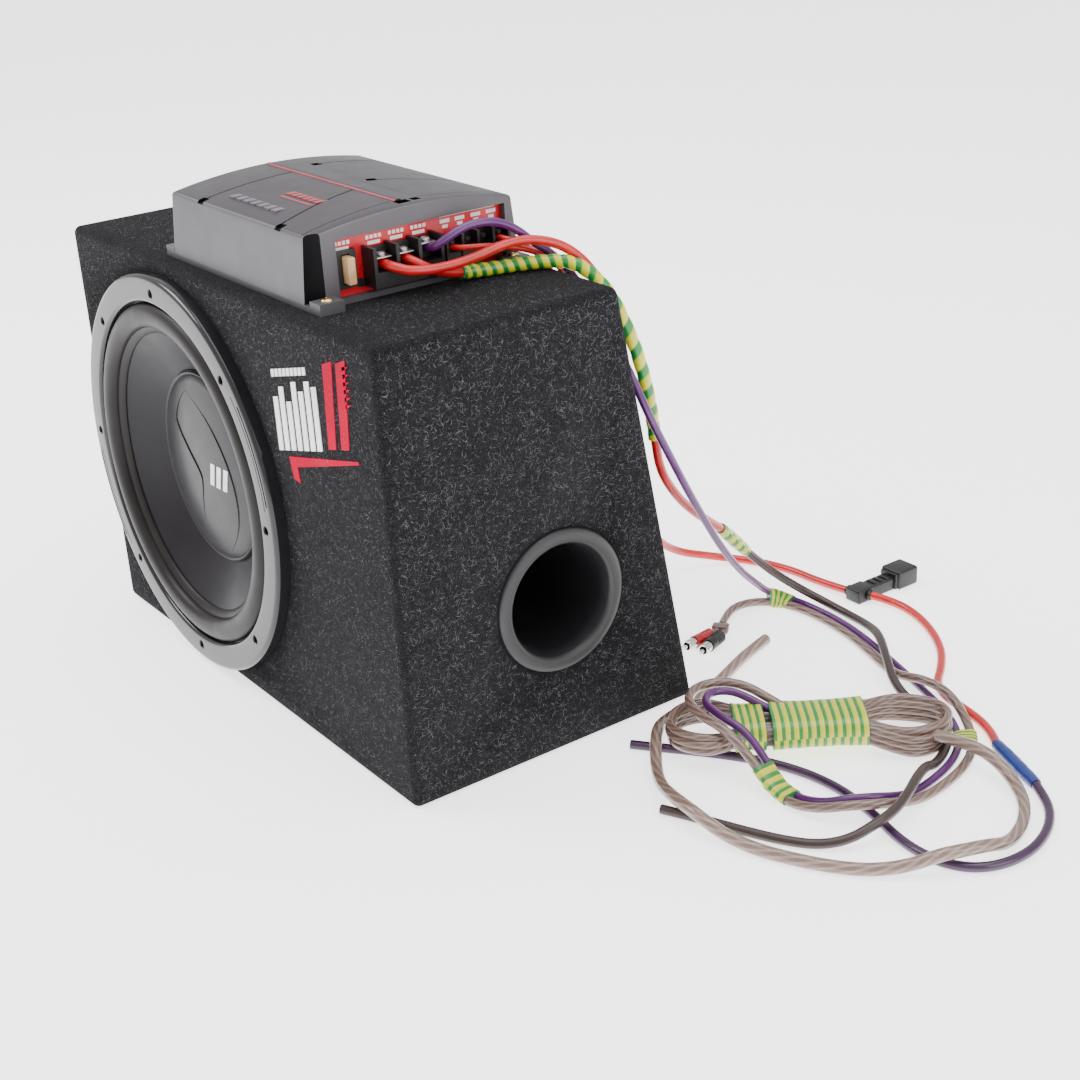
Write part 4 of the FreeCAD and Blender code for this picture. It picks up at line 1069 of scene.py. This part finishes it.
BROWN_LEAD = mm([
    (166, 246, 61), (163, 262, 46), (167, 279, 29), (180, 296, 14), (204, 306, 5), (232, 305, 4),
    (260, 295.5, 9), (284, 281.5, 14.8), (314, 258, 14.8), (338, 241.5, 8), (364, 234, 3.8),
    (392, 230.5, 3.8), (415, 217.5, 3.8), (428.5, 198, 3.8), (436, 180, 4.5), (442.5, 164, 13),
    (452, 145, 16.5), (463, 125, 17), (470, 106, 15), (472, 86, 13.5), (467, 66, 7), (455, 50, 3.8),
    (437, 37, 3.8), (414, 26, 3.8), (391, 16.5, 3.8), (370, 8, 3.8), (353, 0, 3.8)])
REMOTE_LEAD = mm([
    (138, -19, 363), (147, -18.5, 363.6), (152.5, -12, 369.5), (155, 0, 375.5), (157, 12, 377.5),
    (158.5, 27, 376), (158.5, 43, 368), (157, 58, 355), (161, 73, 343.5), (174, 84, 324), (192, 91, 294),
    (210, 98, 263), (221, 106, 229), (223, 122, 195), (219, 143, 158), (212, 165, 125), (201, 190, 92),
    (187, 221, 58), (172, 251, 32), (162, 275, 12), (172, 291, 4.4), (198, 294, 3.4), (230, 292.5, 3.4),
    (262, 286, 3.4), (294, 276.5, 3.4), (326, 266, 3.4), (358, 255, 3.4), (388, 243.5, 3.4),
    (411, 230.5, 3.4), (429, 213, 3.4), (441, 191, 3.4), (447.5, 167, 3.4), (450.5, 143, 3.4),
    (451, 125, 8.5), (448.5, 109, 13.6), (439, 94.5, 13.6), (425, 84, 8), (405, 79.5, 3.6), (385, 80, 6),
    (365, 82.5, 20), (346, 81.5, 33), (325, 77, 36.5), (306, 80, 37.5), (296, 94, 37.5), (303, 109, 36),
    (318, 117, 31), (334, 124.5, 24)])
SIGNAL_LEAD = mm([
    (338, 134, 24), (321, 127.5, 31), (303, 121, 36.5), (288.5, 110, 37.5), (283.5, 92, 37.5),
    (293, 74.5, 37.5), (315, 67, 36.5), (340, 70.5, 34), (363, 72.5, 21), (386, 70.5, 7), (407, 70.5, 4),
    (428, 75, 8.5), (446, 87.5, 14.2), (457.5, 104.5, 14.2), (460.5, 123, 9), (460, 143, 3.8),
    (457.5, 168, 3.8), (451, 193.5, 3.8), (438.5, 217, 3.8), (419, 236, 3.8), (398, 248.5, 8.5),
    (378, 254.5, 13.6), (354, 254.5, 13.6), (334, 254, 8), (312, 260.5, 3.8), (284, 270.5, 3.8),
    (254, 279.5, 3.8), (222, 284.5, 3.8), (193, 285, 3.8), (171, 279.5, 4), (157, 265, 5), (154, 245, 6),
    (162, 227, 6), (173, 213, 6)])
CLEAR_CABLE = mm([
    (419, 196, 16), (437, 201, 16.5), (459, 205, 16.5), (480, 204, 10), (499, 196, 5), (515, 182, 4.8),
    (528, 163, 4.8), (535.5, 141, 6), (537, 121, 14), (532, 104, 15.2), (525, 89, 14.6), (514, 72, 8),
    (499, 54, 4.8), (480, 38, 4.8), (457, 25, 4.8), (432, 14, 4.8), (408, 6.5, 8.5), (385, 3.5, 14.6),
    (360, 5.5, 14.6), (337, 14, 9), (315, 27, 6.5), (297, 41, 13.6), (280, 57, 14.6), (267, 77, 9),
    (258, 100, 4.8), (252.5, 123, 4.8), (244, 146, 4.8), (233, 171, 4.8), (222, 197, 4.8),
    (214, 224, 4.8)])
SPEAKER_WIRE_A = mm([
    (137, 2.5, 358.6), (145.5, 4, 359), (151.5, 20, 358.5), (153, 38, 355), (153, 54, 350),
    (154, 68, 343.5), (158, 80, 334), (155, 90, 311), (145, 96, 281), (132, 101, 250), (120, 104.5, 219),
    (111, 104, 195), (109, 103.2, 176)])
SPEAKER_WIRE_B = mm([
    (137, 41.5, 358.6), (144.5, 42.5, 358.2), (148, 50.5, 355), (147.5, 59, 349.5), (146.5, 69, 343.5),
    (146, 78, 336.5), (141, 86, 314), (129, 92, 284), (115, 98, 253), (102, 102.5, 222), (93, 103.5, 196),
    (91, 103.2, 176)])


def winding_turns(turns=7):
    """The hank's one line: runs through the tape, joined by loops at both ends."""
    places = [(16.0, 0), (8.2, 0), (16.0, 1), (8.2, 1), (16.0, 2), (8.2, 2), (12.5, 3)]
    points = []
    for turn in range(turns):
        side, row = places[turn]
        low = 13.4 + 7.2 * min(row, 2) * 0.62
        after_side, after_row = places[min(turn + 1, turns - 1)]
        after_low = 13.4 + 7.2 * min(after_row, 2) * 0.62
        bulge = 14 + side * 0.95
        right_z = 4.5 + 5.6 * row + (2.6 if side < 10 else 0)
        left_z = 12.5 + 4.6 * row + (2.2 if side < 10 else 0)
        reach = 9 + 1.3 * turn % 5
        points += [(-44, -side, low), (-5, -side * 0.93, low), (38, -side, low),
                   (56, -bulge * 0.88, (low + right_z) / 2), (74, -bulge, right_z),
                   (90 + reach * 0.5, -bulge * 0.62, right_z), (97 + reach * 0.5, 0, right_z),
                   (90 + reach * 0.5, bulge * 0.62, right_z), (74, bulge, right_z),
                   (56, bulge * 0.88, (low + right_z) / 2), (38, side, low),
                   (-5, side * 0.93, low), (-44, side, low)]
        wide = 15 + side * 0.9
        points += [(-60, wide * 0.86, (low + left_z) / 2), (-76, wide, left_z),
                   (-90 - reach * 0.4, wide * 0.62, left_z), (-96 - reach * 0.4, 0, left_z)]
        if turn < turns - 1:
            wide = 15 + after_side * 0.9
            left_z = (left_z + 12.5 + 4.6 * after_row) / 2
            points += [(-90 - reach * 0.4, -wide * 0.62, left_z), (-76, -wide, left_z),
                       (-60, -wide * 0.86, (after_low + left_z) / 2)]
    return [HANK_FRAME @ (Vector(point) * 0.001) for point in points]


def make_hank():
    """The winding, and the two tapes round its middle."""
    points = winding_turns()
    hank = lead("hank_winding", points, 0.0064, STRANDED_LONG, "hank", steps=8)
    steps, middle_up = 24, 0.0182
    for name, start, end, tone in (("hank_tape_left", -0.054, -0.032, TAPE_BAND),
                                   ("hank_tape_main", -0.027, 0.041, HANK_TAPE)):
        line = [HANK_FRAME @ Vector((start + (end - start) * i / steps, 0, middle_up))
                for i in range(steps + 1)]

        def girth(share, angle, start=start):
            wave = noise.noise(Vector((share * 7 + start * 90, math.cos(angle) * 2,
                                       math.sin(angle) * 2)))
            pinch = 1 - 0.06 * math.sin(math.pi * share)
            return squarish(angle, 0.0232, 0.0125, 3.2) * pinch * (1 + 0.03 * wave)

        sweep(name, line, girth, tone, 64)


def rest_on_floor(piece):
    """Flatten a soft piece where it would sink into the floor."""
    for vert in piece.data.vertices:
        vert.co.z = max(vert.co.z, FLOOR_GAP)


def pair_band(name, first, second, middle, long):
    """Tape wound round two leads that lie side by side, its section turned with them."""
    start = low = high = nearest(first, middle)
    while (first[low] - first[start]).length < long / 2:
        low -= 1
    while (first[high] - first[start]).length < long / 2:
        high += 1
    line = []
    ways = []
    for near in first[low:high + 1]:
        far = second[nearest(second, near)]
        line.append((near + far) / 2)
        ways.append((far - near).normalized())
    half = (first[start] - second[nearest(second, first[start])]).length / 2

    def girth(share, angle):
        wave = noise.noise(Vector((share * 6, math.cos(angle) * 2, middle.x * 90)))
        return (1 + 0.05 * wave) * squarish(angle, half + 0.0042, 0.0043, 2.7)

    tape = sweep(name, line, girth, TAPE_BAND, 40, ways=ways)
    rest_on_floor(tape)


GROUND_ROUTE = GROUND_LEAD + TAPE_WRAP[1:] + GROUND_TAIL[1:]

# Name, route, length, diameter, material, far end, the CAD tubes, and the pieces on the cord.
LEADS = (
    ("power_cord", POWER_LEAD, 0.734, 0.007, RED_CABLE, "connector", "power_lead", "inline_holder"),
    ("power_cord_tail", POWER_TAIL, 0.272, 0.007, RED_CABLE, "connector", "power_tail",
     "blue_sleeve"),
    ("purple_cord", PURPLE_TAIL, 0.421, 0.007, DARK_PURPLE, "bare", "purple_tail", ""),
    ("ground_cord", GROUND_ROUTE, 0.43, 0.007, RED_CABLE, "connector", "ground_lead ground_tail",
     "striped_sleeve spiral_wrap"),
    ("brown_cord", BROWN_LEAD, 0.635, 0.007, BROWN_CABLE, "bare", "brown_lead", ""),
    ("remote_cord", REMOTE_LEAD, 1.17, 0.006, PURPLE_CABLE, "bare", "remote_lead",
     "pair_band_1 pair_band_2 pair_band_3"),
    ("signal_cord", SIGNAL_LEAD, 0.76, 0.007, STRANDED, "plug", "signal_lead",
     "plug_yoke plug_red plug_grey"),
    ("speaker_cord", CLEAR_CABLE, 0.682, 0.009, STRANDED_THICK, "bare", "clear_cable", ""),
    ("speaker_wire_1", SPEAKER_WIRE_A, 0.26, 0.0045, RED_CABLE, "object", "speaker_wire_a", ""),
    ("speaker_wire_2", SPEAKER_WIRE_B, 0.222, 0.0045, RED_CABLE, "object", "speaker_wire_b", ""))


def make_leads():
    for name, route, long, wide, material, far_end, tubes, pieces in LEADS:
        cord = lead(name, route, wide, material, *tubes.split())


def make_sleeves():
    """The spiral wrap, the taped joints, and the bands round the leads."""
    full = centreline(GROUND_ROUTE, 16)
    start, end = [nearest(full, Vector(TAPE_WRAP[i])) for i in (0, -1)]
    turns = 20

    def spiral(share, angle):
        turn = share * turns + angle / (2 * math.pi)
        return 0.0043 + 0.0008 * abs(math.sin(math.pi * turn)) ** 0.6

    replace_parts(sweep("spiral_wrap", full[start:end + 1], spiral, WRAP_TAPE, 32), "tape_wrap")
    for name, ends, across, material in (
            ("striped_sleeve", (GROUND_TAIL[-1], BROWN_LEAD[0]), 0.0052, TAPE_BAND),
            ("blue_sleeve", (POWER_TAIL[-1], PURPLE_TAIL[0]), 0.0049, BLUE_TAPE)):
        low, high = Vector(ends[0]), Vector(ends[1])
        line = [low.lerp(high, -0.03 + 1.06 * i / 30) for i in range(31)]

        def bulge(share, angle, across=across, name=name):
            wave = noise.noise(Vector((share * 9, math.cos(angle) * 1.5, len(name))))
            return across * (0.82 + 0.2 * math.sin(math.pi * share) ** 0.5 + 0.07 * wave)

        rest_on_floor(sweep(name, line, bulge, material, 32))
    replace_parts(bpy.data.objects["blue_sleeve"], "splices")

    remote = centreline(REMOTE_LEAD, 48)
    signal = centreline(SIGNAL_LEAD, 48)
    for name, middle, long in (("pair_band_1", (0.1655, 0.282, 0.0045), 0.024),
                               ("pair_band_2", (0.4285, 0.226, 0.0038), 0.014),
                               ("pair_band_3", (0.386, 0.0752, 0.0075), 0.032)):
        pair_band(name, remote, signal, Vector(middle), long)
    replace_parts(bpy.data.objects["pair_band_1"], "tape_bands")


def make_holder():
    """The in-line fuse holder: a body with three ribs, a cap, and a stub at each lead."""
    low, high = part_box("fuse_holder")
    made = bmesh.new()
    middle = (low.x + high.x) / 2
    half = 0.0083
    cap = high.y - 0.023
    block(made, (middle - half, low.y, low.z), (middle + half, low.y + 0.018, 0.0128), bevel=0.002,
          segments=4)
    block(made, (middle - half + 0.0012, low.y + 0.015, low.z + 0.0004),
          (middle + half - 0.0012, cap + 0.002, 0.0118), bevel=0.0016, segments=3)
    for i in range(3):
        y = low.y + 0.0215 + i * 0.0068
        block(made, (middle - half + 0.0035, y, 0.0114), (middle + half - 0.0035, y + 0.0035, 0.0130),
              bevel=0.0007)
    block(made, (low.x, cap, low.z), (high.x, high.y, high.z), bevel=0.0024, segments=4)
    block(made, (low.x + 0.002, cap - 0.0025, low.z + 0.001), (high.x - 0.002, cap + 0.001,
                                                             high.z - 0.002), bevel=0.0008)
    for side, start, end in ((-1, 0.3345, 0.3345), (1, 0.3408, 0.3415)):
        x = middle + side * (half - 0.0005)
        cylinder(made, 0.0048, (x, start, 0.0066), (x + side * 0.003, end, 0.0066), 0.0008)
    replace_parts(mesh_piece("inline_holder", made, BLACK_PLASTIC), "fuse_holder")


def make_plugs():
    """Two phono plugs, one red and one grey, on short tails from a moulded yoke."""
    up = 0.0062
    roots = (0.178, 0.204, up), (0.184, 0.207, up)
    yoke = bmesh.new()
    turn = Matrix.Translation((0.176, 0.209, 0.006)) @ Matrix.Rotation(math.radians(38), 4, "Z")
    block(yoke, (-0.007, -0.0046, -0.0034), (0.007, 0.0046, 0.0034), turn, bevel=0.0018, segments=3)
    for start, end in zip(roots, ((0.1791, 0.1955, up), (0.1869, 0.199, up))):
        cylinder(yoke, 0.0025, start, end, 0.0003)
    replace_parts(mesh_piece("plug_yoke", yoke, STRANDED), "signal_plugs")
    grips = [(4.5 if i % 2 else 5.3, 9 + i * 1.5) for i in range(9)]
    body = [(0, 7), (3.4, 7), (4.4, 8.2)] + grips + [(5.2, 23), (5.3, 28), (0, 28)]
    sleeve = [(3.2, 28), (4.35, 28), (4.4, 36), (4.1, 37), (3.4, 37), (3.4, 29)]
    pin = [(0, 28.5), (1.6, 28.5), (1.6, 41.5), (0.9, 43), (0, 43.2)]
    for name, start, end, tone in (("plug_red", roots[0], (0.1835, 0.161, up), RED_PLASTIC),
                                   ("plug_grey", roots[1], (0.2, 0.164, up), BLACK_PLASTIC)):
        way = (Vector(end) - Vector(start)).normalized()
        turn = Matrix.Translation(start) @ way.to_track_quat("Z", "Y").to_matrix().to_4x4()
        mesh_piece(name, lathe(bmesh.new(), mm(body), turn, 48, False), tone)
        tip = lathe(bmesh.new(), mm(sleeve), turn, 48)
        mesh_piece(name + "_tip", lathe(tip, mm(pin), turn, 24, False), CHROME)


# ---------------------------------------------------------------- camera, floor and light

CAMERA_PLACE = (1.1842, -0.6595, 0.6745)
CAMERA_LENS, CAMERA_SENSOR = 60.247, 36
CAMERA_HEADING, CAMERA_PITCH, CAMERA_ROLL = 55.431, 66.327, -3.572


def make_camera():
    """The photograph's camera, as fitted to the box's corners and the ring."""
    data = bpy.data.cameras.new("camera")
    data.lens = CAMERA_LENS
    data.sensor_width = CAMERA_SENSOR
    camera = bpy.data.objects.new("camera", data)
    bpy.context.scene.collection.objects.link(camera)
    camera.location = CAMERA_PLACE
    turn = Matrix.Identity(4)
    for angle, axis in ((CAMERA_HEADING, "Z"), (CAMERA_PITCH, "X"), (CAMERA_ROLL, "Z")):
        turn = turn @ Matrix.Rotation(math.radians(angle), 4, axis)
    camera.rotation_euler = turn.to_euler()
    bpy.context.scene.camera = camera


def make_floor():
    """A wide pale floor that glows a little, like a light table."""
    mesh = bpy.data.meshes.new("floor")
    reach = 14
    corners = [(x * reach, y * reach, 0) for x, y in ((-1, -1), (1, -1), (1, 1), (-1, 1))]
    mesh.from_pydata(corners, [], [(0, 1, 2, 3)])
    floor = bpy.data.objects.new("floor", mesh)
    bpy.context.scene.collection.objects.link(floor)
    mesh.materials.append(Shader("floor_white", (0.94, 0.94, 0.945), 0.55,
                                 Specular_IOR_Level=0.2, Emission_Strength=1.9,
                                 Emission_Color=(1, 1, 1, 1)).material)


def area_light(name, place, aim, wide, high, power):
    data = bpy.data.lights.new(name, "AREA")
    data.shape = "RECTANGLE"
    data.size = wide
    data.size_y = high
    data.energy = power
    light = bpy.data.objects.new(name, data)
    bpy.context.scene.collection.objects.link(light)
    light.location = place
    way = Vector(aim) - Vector(place)
    light.rotation_euler = way.to_track_quat("-Z", "Y").to_euler()


def make_light():
    world = bpy.data.worlds.new("studio")
    bpy.context.scene.world = world
    world.use_nodes = True
    sky = world.node_tree.nodes["Background"].inputs
    sky["Color"].default_value = (1, 1, 1, 1)
    sky["Strength"].default_value = 1.0
    area_light("key", (-1.35, -1.1, 1.9), (0, 0, 0.2), 1.3, 1.0, 46)
    area_light("top", (0.3, 0.2, 2.2), (0.1, 0, 0), 1.8, 1.8, 34)
    area_light("side", (2.0, 0.4, 1.0), (0.2, 0, 0.15), 1.2, 1.0, 14)


make_camera()
make_floor()
make_light()
make_skin()
make_fibres()
make_decal()
make_ring()
make_surround()
make_spider()
make_cone()
make_cap()
make_port()
make_cup()
make_shell()
make_ridge()
make_badges()
make_panel_marks()
make_terminal_details()
make_foot_screws()
make_control_end()
finish_carried()
make_holder()
make_plugs()
make_sleeves()
make_leads()
make_hank()

bpy.context.view_layer.update()
